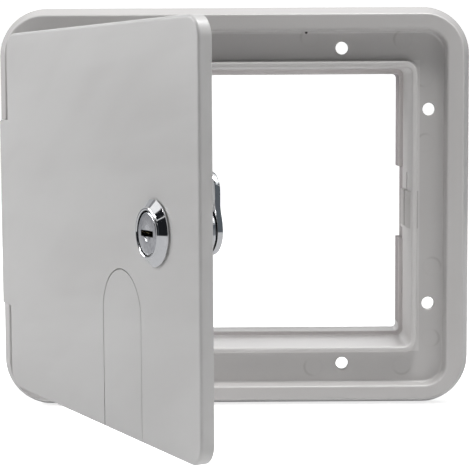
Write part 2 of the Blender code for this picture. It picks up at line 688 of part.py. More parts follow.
def build_wafer(index):
    """One wafer: a thin plate with a window for the key."""
    depth = WAFER_FIRST + index * WAFER_PITCH
    shift = WAFER_SHIFT * (-1) ** index
    half_thickness = WAFER_THICKNESS / 2
    name = "wafer_%d" % (index + 1)
    wafer = box(name, (shift - WAFER_HALF_WIDTH, depth - half_thickness, -WAFER_HEIGHT / 2),
                (shift + WAFER_HALF_WIDTH, depth + half_thickness, WAFER_HEIGHT / 2))
    window_x = KEYWAY_HALF_WIDTH + WAFER_WINDOW_GAP - WAFER_SHIFT
    window_z = KEYWAY_HEIGHT / 2 + WAFER_WINDOW_GAP
    window = box("window", (shift - window_x, depth - WAFER_THICKNESS, -window_z),
                 (shift + window_x, depth + WAFER_THICKNESS, window_z))
    combine(wafer, window, "DIFFERENCE")
    return wafer


def square_hole(start, end):
    """The square way for the plug's tail through a plate."""
    half = TAIL_SIDE / 2 + TAIL_GAP
    return box("hole", (-half, start - SEAT_GAP, -half), (half, end + SEAT_GAP, half))


def build_stop_plate():
    """The plate whose tab limits the plug to a quarter turn."""
    end = STOP_PLATE_START + STOP_PLATE_THICKNESS
    plate = rod("stop_plate", STOP_PLATE_RADIUS, "Y", STOP_PLATE_START, end, sides=LATHE_SIDES)
    half = STOP_TAB_WIDTH / 2
    tab_reach = BARREL_RADIUS - STOP_TAB_SETBACK
    tab = box("tab", (-half, STOP_PLATE_START, -tab_reach), (half, end, -STOP_PLATE_RADIUS + STOP_PLATE_GAP))
    combine(plate, tab, "UNION")
    combine(plate, square_hole(STOP_PLATE_START, end), "DIFFERENCE")
    return plate


def build_cam():
    """The cam: a round hub and an arm with a round end, pointing up at rest."""
    foot = math.degrees(math.acos(min(CAM_HALF_WIDTH / CAM_HUB_RADIUS, 1.0)))
    outline = arc((0.0, 0.0), CAM_HUB_RADIUS, 180 - foot, 360 + foot, LATHE_SIDES // 2)
    outline += arc((0.0, CAM_REACH - CAM_HALF_WIDTH), CAM_HALF_WIDTH, 0, 180, CORNER_STEPS)
    cam = prism("lock_cam", outline, "Y", CAM_START, CAM_END)
    combine(cam, square_hole(CAM_START, CAM_END), "DIFFERENCE")
    return cam


def build_ring(name, outline, hole_radius, start, end):
    """A flat ring of any outline with a round hole."""
    ring = prism(name, outline, "Y", start, end)
    hole = rod("hole", hole_radius, "Y", start - SEAT_GAP, end + SEAT_GAP, sides=LATHE_SIDES)
    combine(ring, hole, "DIFFERENCE")
    return ring


def build_cam_screw():
    """The screw that holds the plates on the tail, with a slotted pan head."""
    head_end = SCREW_HEAD_START + SCREW_HEAD_THICKNESS
    edge = SCREW_HEAD_THICKNESS / 2
    profile = (
        (SCREW_SHANK_RADIUS, SCREW_HEAD_START - SCREW_SHANK_LENGTH),
        (SCREW_SHANK_RADIUS, SCREW_HEAD_START),
        (SCREW_HEAD_RADIUS, SCREW_HEAD_START),
        (SCREW_HEAD_RADIUS, head_end - edge),
        (SCREW_HEAD_RADIUS - edge, head_end),
    )
    screw = lathe("cam_screw", profile, sides=HOLE_SIDES)
    half = SCREW_SLOT_WIDTH / 2
    slot = box("slot", (-SCREW_HEAD_RADIUS, head_end - SCREW_SLOT_DEPTH, -half),
               (SCREW_HEAD_RADIUS, head_end + SCREW_SLOT_DEPTH, half))
    combine(screw, slot, "DIFFERENCE")
    return screw


def tooth_outline():
    """The outline of the toothed washer."""
    points = []
    for index in range(2 * LOCK_WASHER_TEETH):
        angle = math.pi * index / LOCK_WASHER_TEETH
        radius = NUT_BORE + LOCK_WASHER_WIDTH - (index % 2) * LOCK_WASHER_TOOTH
        points.append((radius * math.cos(angle), radius * math.sin(angle)))
    return points


def make_axis(name, location, parent=None, turn=0.0):
    """An empty that marks a joint's axis and carries what moves on it."""
    empty = bpy.data.objects.new(name, None)
    bpy.context.scene.collection.objects.link(empty)
    empty.location = location
    empty.rotation_euler = (0.0, 0.0, turn)
    empty.parent = parent
    return empty


def build_hatch():
    """Build every piece and hang it from the axis that it moves on."""
    clear_scene()
    off_white = make_material("off_white_plastic", (0.62, 0.61, 0.60), 0.32, 0.0)
    chrome = make_material("chrome", (0.80, 0.81, 0.82), 0.08, 1.0)
    zinc = make_material("zinc_steel", (0.62, 0.63, 0.64), 0.3, 1.0)
    steel = make_material("steel", (0.55, 0.55, 0.56), 0.35, 1.0)
    brass = make_material("brass", (0.78, 0.60, 0.28), 0.35, 1.0)

    hinge_axis = make_axis("hinge_axis", (HINGE_X, HINGE_Y, CENTRE_Z), turn=-OPEN_ANGLE)
    lock_axis = make_axis("lock_axis", (LOCK_U, DOOR_FRONT, LOCK_Z), hinge_axis)
    flap_place = (FLAP_U, DOOR_FRONT + FLAP_AXIS_DEPTH, FLAP_AXIS_Z)
    flap_axis = make_axis("flap_axis", flap_place, hinge_axis)

    frame = build_frame()
    frame.location = (0.0, 0.0, CENTRE_Z)
    finish_object(frame, off_white)
    pin_end = KNUCKLE_LENGTH / 2 + KNUCKLE_END_GAP + PIN_BOSS_LENGTH - PIN_BOSS_SKIN - SEAT_GAP
    hinge_pin = rod("hinge_pin", PIN_RADIUS, "Z", -pin_end, pin_end)
    hinge_pin.location = (HINGE_X, HINGE_Y, CENTRE_Z)
    finish_object(hinge_pin, steel)

    half_flap_pin = FLAP_RADIUS + FLAP_GAP + REVEAL_WALL - SEAT_GAP
    hex_radius = 2 * (NUT_BORE + NUT_WALL) / math.sqrt(3)
    nut_end = NUT_START + NUT_THICKNESS
    washer_end = LOCK_WASHER_START + LOCK_WASHER_THICKNESS
    spring_end = SPRING_WASHER_START + SPRING_WASHER_THICKNESS
    hung_pieces = [
        (build_door(), hinge_axis, off_white),
        (build_flap(), flap_axis, off_white),
        (rod("flap_pin", FLAP_PIN_RADIUS, "X", -half_flap_pin, half_flap_pin), flap_axis, steel),
        (build_housing(), lock_axis, chrome),
        (build_ring("lock_washer", tooth_outline(), NUT_BORE, LOCK_WASHER_START, washer_end), lock_axis, zinc),
        (build_ring("lock_nut", circle_outline(hex_radius, 6), NUT_BORE, NUT_START, nut_end), lock_axis, zinc),
        (build_plug(), lock_axis, chrome),
        (build_stop_plate(), lock_axis, zinc),
        (build_cam(), lock_axis, chrome),
        (build_ring("cam_washer", circle_outline(SPRING_WASHER_RADIUS, HOLE_SIDES),
                    SCREW_SHANK_RADIUS + SEAT_GAP, SPRING_WASHER_START, spring_end), lock_axis, zinc),
        (build_cam_screw(), lock_axis, zinc),
    ]
    for index in range(WAFER_COUNT):
        hung_pieces.append((build_wafer(index), lock_axis, brass))
    for item, axis, material in hung_pieces:
        item.parent = axis
        finish_object(item, material)


build_hatch()
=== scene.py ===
import logging
import math
from dataclasses import dataclass, field, replace
from enum import Enum
from typing import Optional, Sequence

import bmesh
import bpy
import numpy as np
from mathutils import Matrix, Vector


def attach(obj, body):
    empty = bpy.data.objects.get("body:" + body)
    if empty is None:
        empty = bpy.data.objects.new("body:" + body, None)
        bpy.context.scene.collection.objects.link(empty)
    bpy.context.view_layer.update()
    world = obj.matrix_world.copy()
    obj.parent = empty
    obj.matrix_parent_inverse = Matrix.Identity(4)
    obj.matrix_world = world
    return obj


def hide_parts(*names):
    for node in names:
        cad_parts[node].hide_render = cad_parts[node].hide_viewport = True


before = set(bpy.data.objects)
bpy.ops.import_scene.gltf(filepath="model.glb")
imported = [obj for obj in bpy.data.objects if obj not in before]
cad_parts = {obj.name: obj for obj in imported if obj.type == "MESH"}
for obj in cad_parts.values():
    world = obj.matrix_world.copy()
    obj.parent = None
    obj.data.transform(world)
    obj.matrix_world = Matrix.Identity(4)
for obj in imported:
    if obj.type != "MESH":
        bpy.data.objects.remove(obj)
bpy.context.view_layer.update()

LOG = logging.getLogger("hatch")

# Lengths are in metres, in the part's own frame: y = 0 is the wall's face.
CENTRE_Z = 0.0626
RIM_DEPTH = 0.0084
RECESS_DEPTH = 0.0059
FLOOR_Y = RECESS_DEPTH - RIM_DEPTH
HINGE_X = -0.0854
HINGE_Y = -0.0044
OPEN_ANGLE = math.radians(61.7)
DOOR_FRONT = -0.0040
LOCK_U = 0.1351
LOCK_Z = 0.001
PHOTO_SIDE = 470
MERGE_DISTANCE = 1e-7

Point = tuple[float, float, float]
Colour = tuple[float, float, float, float]


class Along(Enum):
    """The axis that a prism is drawn out along."""

    X = 0
    Y = 1
    Z = 2


class Join(Enum):
    """How a second solid changes the first."""

    ADD = "UNION"
    CUT = "DIFFERENCE"
    COMMON = "INTERSECT"


@dataclass(frozen=True)
class Placement:
    """A turned and shifted set of axes in which a piece is drawn."""

    origin: Point
    turn_z: float = 0.0

    def matrix(self) -> Matrix:
        """The placement as a matrix."""
        return Matrix.Translation(self.origin) @ Matrix.Rotation(self.turn_z, 4, "Z")

    def shifted(self, u: float, v: float, z: float) -> "Placement":
        """A placement further along this one's own axes.

        Args:
            u: distance along the local X axis.
            v: distance along the local Y axis.
            z: distance up.

        Returns:
            The new placement, turned as this one is.
        """
        c, s = math.cos(self.turn_z), math.sin(self.turn_z)
        x0, y0, z0 = self.origin
        return Placement((x0 + u * c - v * s, y0 + u * s + v * c, z0 + z), self.turn_z)


HATCH = Placement((0.0, 0.0, CENTRE_Z))
DOOR = Placement((HINGE_X, HINGE_Y, CENTRE_Z), -OPEN_ANGLE)


@dataclass
class Surface:
    """A closed surface: points, four-sided faces and flat end faces."""

    points: np.ndarray
    quads: np.ndarray
    caps: list[np.ndarray] = field(default_factory=list)

    def __add__(self, other: "Surface") -> "Surface":
        """Both surfaces in one.

        Args:
            other: the surface that is added.

        Returns:
            One surface with the points and faces of both.
        """
        base = len(self.points)
        return Surface(
            np.concatenate((self.points, other.points)),
            np.concatenate((self.quads, other.quads + base)),
            self.caps + [cap + base for cap in other.caps],
        )


def rounded_profile(corners: Sequence[tuple[float, float, float]], steps: int = 6,
                    support: float = 0.0002, closed: bool = True) -> np.ndarray:
    """Round each corner of a polygon by its own radius.

    At each corner the arc starts and ends where the two sides are one tangent
    length away, which is the radius times the tangent of half the turn. A
    point just before and after each arc keeps the flat sides flat in shading.

    Args:
        corners: rows of first coordinate, second coordinate and radius.
        steps: parts in each arc.
        support: how far outside the arc the keeping points lie.
        closed: whether the last corner joins the first.

    Returns:
        The points in order, as an array of two columns.
    """
    table = np.asarray(corners, float)
    points, radii = table[:, :2], table[:, 2]
    way_in = points - np.roll(points, 1, axis=0)
    length_in = np.linalg.norm(way_in, axis=1)
    way_in = way_in / length_in[:, None]
    way_out = np.roll(way_in, -1, axis=0)
    turn = np.arctan2(way_in[:, 0] * way_out[:, 1] - way_in[:, 1] * way_out[:, 0],
                      np.sum(way_in * way_out, axis=1))
    if not closed:
        turn[[0, -1]] = 0.0
    reach = np.abs(radii * np.tan(turn / 2))
    normal = np.stack((-way_in[:, 1], way_in[:, 0]), axis=1) * np.sign(turn)[:, None]
    centre = points - way_in * reach[:, None] + normal * radii[:, None]
    start = -normal * radii[:, None]
    angle = turn[:, None] * np.linspace(0.0, 1.0, steps + 1)
    cosine, sine = np.cos(angle), np.sin(angle)
    arcs = centre[:, None] + np.stack((start[:, :1] * cosine - start[:, 1:] * sine,
                                       start[:, :1] * sine + start[:, 1:] * cosine), axis=2)
    free_in = length_in - reach - np.roll(reach, 1)
    keep_in = np.minimum(support, free_in / 3)
    keep_out = np.roll(keep_in, -1)
    lead = points - way_in * (reach + keep_in)[:, None]
    tail = points + way_out * (reach + keep_out)[:, None]
    rows = np.concatenate((lead[:, None], arcs, tail[:, None]), axis=1)
    if not closed:
        rows[0, :-1] = points[0]
        rows[-1, 1:] = points[-1]
    rows = rows.reshape(-1, 2)
    step = np.linalg.norm(rows - np.roll(rows, 1, axis=0), axis=1)
    step[0] = step[0] if closed else 1.0
    return rows[step > 1e-8]


def rectangle_loops(half_width: np.ndarray, half_height: np.ndarray, radius: np.ndarray,
                    steps: int = 16, support: float = 0.001) -> np.ndarray:
    """Rounded rectangles, one for each entry of the arrays.

    Each corner is a quarter circle of its radius about a centre that lies the
    radius in from both sides, with one keeping point before and after it.

    Args:
        half_width: half widths.
        half_height: half heights.
        radius: corner radii.
        steps: parts in each quarter circle.
        support: how far outside the arc the keeping points lie.

    Returns:
        An array of loops by points by two coordinates.
    """
    side_x = np.array([1.0, -1.0, -1.0, 1.0])
    side_z = np.array([1.0, 1.0, -1.0, -1.0])
    start = np.radians([0.0, 90.0, 180.0, 270.0])
    angle = start[:, None] + np.linspace(0.0, math.pi / 2, steps + 1)
    cosine, sine = np.cos(angle), np.sin(angle)
    lead = np.stack((np.sin(start), -np.cos(start)), axis=1)[:, None]
    tail = np.stack((-np.sin(start + math.pi / 2), np.cos(start + math.pi / 2)), axis=1)[:, None]
    unit = np.stack((cosine, sine), axis=2)
    unit = np.concatenate((unit[:, :1], unit, unit[:, -1:]), axis=1)
    shift = np.concatenate((lead, np.zeros((4, steps + 1, 2)), tail), axis=1) * support
    centre = np.stack((side_x * (half_width - radius)[:, None],
                       side_z * (half_height - radius)[:, None]), axis=2)
    loops = centre[:, :, None] + radius[:, None, None, None] * unit + shift
    return loops.reshape(len(half_width), -1, 2)


def grid_surface(points: np.ndarray, ring: bool) -> Surface:
    """Join neighbouring rows of a grid by four-sided faces.

    Every row is a closed loop. With ring the last row joins the first one,
    and without it the two end rows are closed by flat faces.

    Args:
        points: rows by columns by three coordinates.
        ring: whether the rows close on themselves too.

    Returns:
        The closed surface.
    """
    rows, columns = points.shape[:2]
    index = np.arange(rows * columns).reshape(rows, columns)
    along = np.concatenate((index, index[:1])) if ring else index
    around = np.concatenate((along, along[:, :1]), axis=1)
    quads = np.stack((around[:-1, :-1], around[:-1, 1:], around[1:, 1:], around[1:, :-1]), axis=2)
    caps = [] if ring else [index[0, ::-1], index[-1]]
    return Surface(points.reshape(-1, 3), quads.reshape(-1, 4), caps)


def prism(outline: np.ndarray, along: Along, start: float, end: float) -> Surface:
    """Draw a flat outline out along one axis between two levels.

    Args:
        outline: two columns, the other two axes in X, Y, Z order.
        along: the axis that the outline is drawn along.
        start: first level.
        end: last level.

    Returns:
        The closed surface.
    """
    rows = [np.insert(outline, along.value, level, axis=1) for level in (start, end)]
    return grid_surface(np.stack(rows), ring=False)


def block(low: Sequence[float], high: Sequence[float]) -> Surface:
    """A box between two corners, as a prism along Z."""
    outline = np.array([(low[0], low[1]), (high[0], low[1]), (high[0], high[1]), (low[0], high[1])])
    return prism(outline, Along.Z, low[2], high[2])


def revolve(profile: np.ndarray, sides: int, ring: bool, along: Along = Along.Y,
            centre: tuple[float, float] = (0.0, 0.0)) -> Surface:
    """Turn a profile of radius and level about an axis.

    A point is the centre plus the radius times cosine and sine of the angle,
    at the profile's own level along the axis.

    Args:
        profile: two columns, radius and level.
        sides: parts in the full turn.
        ring: whether the profile is itself a closed loop.
        along: the axis of the turn.
        centre: where the axis meets the other two axes.

    Returns:
        The closed surface.
    """
    angle = np.linspace(0.0, 2 * math.pi, sides, endpoint=False)
    radius = profile[:, :1]
    first = centre[0] + radius * np.cos(angle)
    second = centre[1] + radius * np.sin(angle)
    level = np.broadcast_to(profile[:, 1:], first.shape)
    axes = [first, second]
    axes.insert(along.value, level)
    return grid_surface(np.stack(axes, axis=2), ring)


def rod(radius: float, half: float, sides: int, along: Along,
        centre: tuple[float, float] = (0.0, 0.0), middle: float = 0.0) -> Surface:
    """A plain round bar with flat ends, half its length to each side of its middle."""
    return revolve(np.array([(radius, middle - half), (radius, middle + half)]), sides, False, along, centre)


def disc_outline(radius: float, sides: int, centre: tuple[float, float] = (0.0, 0.0),
                 start: float = 0.0, sweep: float = 2 * math.pi) -> np.ndarray:
    """Points on a circle or on a part of one.

    Args:
        radius: the circle's radius.
        sides: parts in the sweep.
        centre: the circle's centre.
        start: first angle.
        sweep: angle covered; a full turn leaves the doubled last point out.

    Returns:
        Two columns of coordinates.
    """
    full = abs(sweep - 2 * math.pi) < 1e-9
    angle = start + np.linspace(0.0, sweep, sides + (0 if full else 1), endpoint=not full)
    return np.stack((centre[0] + radius * np.cos(angle), centre[1] + radius * np.sin(angle)), axis=1)


def solid(name: str, surface: Surface) -> bpy.types.Object:
    """Make an object of a closed surface, its faces turned outwards.

    Args:
        name: the object's name.
        surface: its closed surface.

    Returns:
        The new object, in the scene.
    """
    mesh = bpy.data.meshes.new(name)
    faces = surface.quads.tolist() + [cap.tolist() for cap in surface.caps]
    mesh.from_pydata(surface.points.tolist(), [], faces)
    item = bpy.data.objects.new(name, mesh)
    bpy.context.scene.collection.objects.link(item)
    face_outwards(item)
    return item


def face_outwards(item: bpy.types.Object) -> None:
    """Merge doubled points and turn every face outwards.

    Args:
        item: the object whose mesh is mended.
    """
    mesh = bmesh.new()
    mesh.from_mesh(item.data)
    bmesh.ops.remove_doubles(mesh, verts=mesh.verts, dist=MERGE_DISTANCE)
    bmesh.ops.recalc_face_normals(mesh, faces=mesh.faces)
    mesh.to_mesh(item.data)
    mesh.free()


def settle(item: bpy.types.Object) -> None:
    """Apply an object's modifiers to its mesh.

    Args:
        item: the object whose modifiers are applied.
    """
    graph = bpy.context.evaluated_depsgraph_get()
    settled = bpy.data.meshes.new_from_object(item.evaluated_get(graph))
    item.modifiers.clear()
    item.data = settled


def shape(item: bpy.types.Object, tool: Surface, join: Join) -> None:
    """Join, cut or keep the common part of an object and a closed surface.

    Args:
        item: the object that changes.
        tool: the closed surface, or several in one.
        join: what is done with it.
    """
    helper = solid("tool", tool)
    modifier = item.modifiers.new("shape", "BOOLEAN")
    modifier.operation = join.value
    modifier.solver = "EXACT"
    modifier.object = helper
    settle(item)
    bpy.data.objects.remove(helper)


def soften(item: bpy.types.Object, width: float, segments: int = 2, angle: float = 50.0) -> None:
    """Round the sharp edges of an object by a small bevel.

    Args:
        item: the object.
        width: width of the bevel.
        segments: parts across it.
        angle: edges that turn by less than this many degrees stay.
    """
    modifier = item.modifiers.new("soften", "BEVEL")
    modifier.width = width
    modifier.segments = segments
    modifier.limit_method = "ANGLE"
    modifier.angle_limit = math.radians(angle)
    modifier.use_clamp_overlap = True
    modifier.miter_outer = "MITER_ARC"
    settle(item)


def transform(item: bpy.types.Object, matrix: Matrix) -> None:
    """Move an object's points by a matrix, computed as one array.

    Args:
        item: the object that moves.
        matrix: where its axes go.
    """
    count = len(item.data.vertices)
    points = np.empty(count * 3)
    item.data.vertices.foreach_get("co", points)
    table = np.array(matrix)
    moved = points.reshape(-1, 3) @ table[:3, :3].T + table[:3, 3]
    item.data.vertices.foreach_set("co", moved.ravel())
    item.data.update()


def fit_piece(item: bpy.types.Object, material: bpy.types.Material, placement: Placement, body: str,
              nodes: Sequence[str], slot: str, sharp: float = 32.0) -> bpy.types.Object:
    """Place, shade and dress a finished piece and tie it to its body.

    Args:
        item: the piece, drawn in its placement's own axes.
        material: its finish.
        placement: where those axes lie.
        body: the body that the piece moves with.
        nodes: the plain solids that it stands for.
        slot: not used.
        sharp: edges that turn by more than this many degrees stay sharp.

    Returns:
        The piece.
    """
    transform(item, placement.matrix())
    face_outwards(item)
    item.data.materials.clear()
    item.data.materials.append(material)
    item.data.shade_smooth()
    item.data.set_sharp_from_angle(angle=math.radians(sharp))
    weigh = item.modifiers.new("weigh", "WEIGHTED_NORMAL")
    weigh.keep_sharp = True
    settle(item)
    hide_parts(*nodes)
    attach(item, body)
    LOG.info("%s: %d faces", item.name, len(item.data.polygons))
    return item


class Nodes:
    """A small helper that adds and joins shader nodes."""

    def __init__(self, tree: bpy.types.NodeTree) -> None:
        """Work on one node tree."""
        self.tree = tree

    def add(self, kind: str, inputs: Optional[dict] = None, **settings: object) -> bpy.types.Node:
        """Add a node.

        Args:
            kind: the node's type name without the ShaderNode prefix.
            inputs: values, or sockets to join, by input name or number.
            settings: the node's own properties.

        Returns:
            The new node.
        """
        name = kind if kind.startswith("NodeGroup") else "ShaderNode" + kind
        node = self.tree.nodes.new(name)
        for key, value in settings.items():
            setattr(node, key, value)
        for key, value in (inputs or {}).items():
            if isinstance(value, bpy.types.NodeSocket):
                self.tree.links.new(value, node.inputs[key])
            else:
                node.inputs[key].default_value = value
        return node

    def maths(self, operation: str, first: object, second: object = 0.5) -> bpy.types.NodeSocket:
        """A Math node's result."""
        return self.add("Math", {0: first, 1: second}, operation=operation).outputs[0]

    def vector(self, operation: str, first: object, second: object = (0.0, 0.0, 0.0)) -> bpy.types.Node:
        """A Vector Math node."""
        return self.add("VectorMath", {0: first, 1: second}, operation=operation)

    def length(self, vector: object) -> bpy.types.NodeSocket:
        """A vector's length."""
        return self.vector("LENGTH", vector).outputs["Value"]

    def ramp(self, value: object, low: float, high: float, from_value: float = 0.0,
             to_value: float = 1.0) -> bpy.types.NodeSocket:
        """A smooth step of a value between two limits."""
        inputs = {"Value": value, "From Min": low, "From Max": high, "To Min": from_value, "To Max": to_value}
        return self.add("MapRange", inputs, interpolation_type="SMOOTHSTEP").outputs[0]

    def mix(self, factor: object, first: object, second: object) -> bpy.types.NodeSocket:
        """A mix of two colours."""
        return self.add("Mix", {0: factor, 6: first, 7: second}, data_type="RGBA").outputs[2]


def new_group(name: str, inputs: Sequence[tuple[str, str, object]],
              outputs: Sequence[tuple[str, str]]) -> tuple[bpy.types.NodeTree, Nodes, dict, bpy.types.Node]:
    """Start a shader node group with named sockets.

    Args:
        name: the group's name.
        inputs: rows of name, Float, Vector or Color, and first value.
        outputs: rows of name and the same kinds.

    Returns:
        The group, its helper, its input sockets by name and its output node.
    """
    tree = bpy.data.node_groups.new(name, "ShaderNodeTree")
    for label, kind, value in inputs:
        socket = tree.interface.new_socket(label, in_out="INPUT", socket_type="NodeSocket" + kind)
        if value is not None:
            socket.default_value = value
    for label, kind in outputs:
        tree.interface.new_socket(label, in_out="OUTPUT", socket_type="NodeSocket" + kind)
    nodes = Nodes(tree)
    source = nodes.add("NodeGroupInput")
    sink = nodes.add("NodeGroupOutput")
    return tree, nodes, {socket.name: socket for socket in source.outputs}, sink


def cloud_tone() -> bpy.types.NodeTree:
    """A colour that drifts softly between two tones, with finer mottling.

    Returns:
        The group, with a colour and its mask.
    """
    tree, nodes, source, sink = new_group(
        "cloud_tone",
        [("Vector", "Vector", None), ("Light", "Color", (1, 1, 1, 1)), ("Dark", "Color", (0.8, 0.8, 0.8, 1)),
         ("Cloud Scale", "Float", 12.0), ("Mottle Scale", "Float", 260.0), ("Mottle", "Float", 0.25)],
        [("Color", "Color"), ("Mask", "Float")])
    cloud = nodes.add("TexNoise", {"Vector": source["Vector"], "Scale": source["Cloud Scale"],
                                   "Detail": 2.0, "Roughness": 0.45}).outputs[0]
    mottle = nodes.add("TexNoise", {"Vector": source["Vector"], "Scale": source["Mottle Scale"],
                                    "Detail": 3.0, "Roughness": 0.55}).outputs[0]
    share = nodes.maths("MULTIPLY", nodes.maths("SUBTRACT", mottle, 0.5), source["Mottle"])
    mask = nodes.ramp(nodes.maths("ADD", cloud, share), 0.25, 0.75)
    tree.links.new(nodes.mix(mask, source["Light"], source["Dark"]), sink.inputs["Color"])
    tree.links.new(mask, sink.inputs["Mask"])
    return tree


def skin_height() -> bpy.types.NodeTree:
    """The slow waves and the fine orange peel of a moulded or plated skin.

    Returns:
        The group, with a height.
    """
    tree, nodes, source, sink = new_group(
        "skin_height",
        [("Vector", "Vector", None), ("Wave Scale", "Float", 30.0), ("Wave", "Float", 1.0),
         ("Peel Scale", "Float", 1500.0), ("Peel", "Float", 0.1)],
        [("Height", "Float")])
    wave = nodes.add("TexNoise", {"Vector": source["Vector"], "Scale": source["Wave Scale"],
                                  "Detail": 1.0, "Roughness": 0.3}).outputs[0]
    peel = nodes.add("TexNoise", {"Vector": source["Vector"], "Scale": source["Peel Scale"],
                                  "Detail": 2.0, "Roughness": 0.5}).outputs[0]
    height = nodes.maths("ADD", nodes.maths("MULTIPLY", wave, source["Wave"]),
                         nodes.maths("MULTIPLY", peel, source["Peel"]))
    tree.links.new(height, sink.inputs["Height"])
    return tree


def hairlines() -> bpy.types.NodeTree:
    """Fine drawn-out scratches along one direction, as a mask.

    Returns:
        The group, with a mask.
    """
    tree, nodes, source, sink = new_group(
        "hairlines",
        [("Vector", "Vector", None), ("Stretch", "Vector", (1.0, 1.0, 0.05)), ("Scale", "Float", 2500.0),
         ("Amount", "Float", 0.5)],
        [("Mask", "Float")])
    drawn = nodes.vector("MULTIPLY", source["Vector"], source["Stretch"])
    lines = nodes.add("TexNoise", {"Vector": drawn.outputs[0], "Scale": source["Scale"],
                                   "Detail": 3.0, "Roughness": 0.7}).outputs[0]
    mask = nodes.maths("MULTIPLY", nodes.ramp(lines, 0.42, 0.66), source["Amount"])
    tree.links.new(mask, sink.inputs["Mask"])
    return tree


def ring_mark() -> bpy.types.NodeTree:
    """The faint smudged part of a ring that an ejector pin leaves round its place.

    Returns:
        The group, with a mask.
    """
    tree, nodes, source, sink = new_group(
        "ring_mark",
        [("Vector", "Vector", None), ("Centre", "Vector", (0, 0, 0)), ("Radius", "Float", 0.0035),
         ("Width", "Float", 0.0006), ("Side", "Float", 0.0)],
        [("Mask", "Float")])
    gap = nodes.vector("SUBTRACT", source["Vector"], source["Centre"])
    parts = nodes.add("SeparateXYZ", {0: gap.outputs[0]})
    flat = nodes.add("CombineXYZ", {"X": parts.outputs["X"], "Z": parts.outputs["Z"]})
    radius = nodes.length(flat.outputs[0])
    off = nodes.maths("ABSOLUTE", nodes.maths("SUBTRACT", radius, source["Radius"]))
    line = nodes.ramp(nodes.maths("DIVIDE", off, source["Width"]), 0.0, 1.0, 1.0, 0.0)
    angle = nodes.maths("ARCTAN2", parts.outputs["Z"], parts.outputs["X"])
    around = nodes.maths("COSINE", nodes.maths("SUBTRACT", angle, source["Side"]))
    share = nodes.ramp(around, 0.1, 1.0, 0.12, 1.0)
    depth = nodes.ramp(nodes.maths("ABSOLUTE", parts.outputs["Y"]), 0.0006, 0.0012, 1.0, 0.0)
    tree.links.new(nodes.maths("MULTIPLY", nodes.maths("MULTIPLY", line, share), depth), sink.inputs["Mask"])
    return tree


def drawn_streaks() -> bpy.types.NodeTree:
    """Soft streaks drawn out along one direction, as a mask.

    The part of the place that lies along the direction is taken away but for
    a small share, so the noise changes slowly that way: V - A (V . A) (1 - s).

    Returns:
        The group, with a mask.
    """
    tree, nodes, source, sink = new_group(
        "drawn_streaks",
        [("Vector", "Vector", None), ("Along", "Vector", (1.0, 0.0, 0.0)), ("Share", "Float", 0.15),
         ("Scale", "Float", 60.0)],
        [("Mask", "Float")])
    reach = nodes.vector("DOT_PRODUCT", source["Vector"], source["Along"])
    taken = nodes.maths("MULTIPLY", reach.outputs["Value"], nodes.maths("SUBTRACT", 1.0, source["Share"]))
    part = nodes.add("VectorMath", {0: source["Along"], "Scale": taken}, operation="SCALE")
    drawn = nodes.vector("SUBTRACT", source["Vector"], part.outputs[0])
    noise = nodes.add("TexNoise", {"Vector": drawn.outputs[0], "Scale": source["Scale"],
                                   "Detail": 2.0, "Roughness": 0.5}).outputs[0]
    tree.links.new(nodes.ramp(noise, 0.40, 0.66), sink.inputs["Mask"])
    return tree


def gap_shade_ring() -> bpy.types.NodeTree:
    """Painted shade in a gap: a thin ring round an axis, as a mask; the distance from the axis is |(V - C) x
    A|.

    Returns:
        The group, with a mask.
    """
    tree, nodes, source, sink = new_group(
        "gap_shade_ring",
        [("Vector", "Vector", None), ("Centre", "Vector", (0, 0, 0)), ("Axis", "Vector", (0.0, 1.0, 0.0)),
         ("Radius", "Float", 0.007), ("Half", "Float", 0.0003), ("Edge", "Float", 0.0001)],
        [("Mask", "Float")])
    gap = nodes.vector("SUBTRACT", source["Vector"], source["Centre"])
    across = nodes.vector("CROSS_PRODUCT", gap.outputs[0], source["Axis"])
    radius = nodes.length(across.outputs[0])
    off = nodes.maths("ABSOLUTE", nodes.maths("SUBTRACT", radius, source["Radius"]))
    past = nodes.maths("DIVIDE", nodes.maths("SUBTRACT", off, source["Half"]), source["Edge"])
    tree.links.new(nodes.ramp(past, 0.0, 1.0, 1.0, 0.0), sink.inputs["Mask"])
    return tree


def box_mask() -> bpy.types.NodeTree:
    """One inside a box and nothing outside it, with a soft edge.

    Returns:
        The group, with a mask.
    """
    tree, nodes, source, sink = new_group(
        "box_mask",
        [("Vector", "Vector", None), ("Centre", "Vector", (0, 0, 0)), ("Half", "Vector", (0.01, 0.01, 0.01)),
         ("Edge", "Float", 0.0002)],
        [("Mask", "Float")])
    gap = nodes.vector("SUBTRACT", source["Vector"], source["Centre"])
    size = nodes.vector("ABSOLUTE", gap.outputs[0])
    left = nodes.vector("SUBTRACT", source["Half"], size.outputs[0])
    parts = nodes.add("SeparateXYZ", {0: left.outputs[0]})
    least = nodes.maths("MINIMUM", parts.outputs[0], parts.outputs[1])
    least = nodes.maths("MINIMUM", least, parts.outputs[2])
    mask = nodes.ramp(nodes.maths("DIVIDE", least, source["Edge"]), 0.0, 1.0)
    tree.links.new(mask, sink.inputs["Mask"])
    return tree


EFFECTS: dict[str, bpy.types.NodeTree] = {
    build.__name__: build()
    for build in (cloud_tone, skin_height, hairlines, ring_mark, drawn_streaks, gap_shade_ring, box_mask)
}


def use_group(nodes: Nodes, name: str, inputs: dict) -> bpy.types.Node:
    """Place a shared effect in a material with its own values.

    Args:
        nodes: the material's node helper.
        name: the effect's name.
        inputs: values, or sockets to join, by input name.

    Returns:
        The group's node.
    """
    node = nodes.tree.nodes.new("ShaderNodeGroup")
    node.node_tree = EFFECTS[name]
    for key, value in inputs.items():
        if isinstance(value, bpy.types.NodeSocket):
            nodes.tree.links.new(value, node.inputs[key])
        else:
            node.inputs[key].default_value = value
    return node


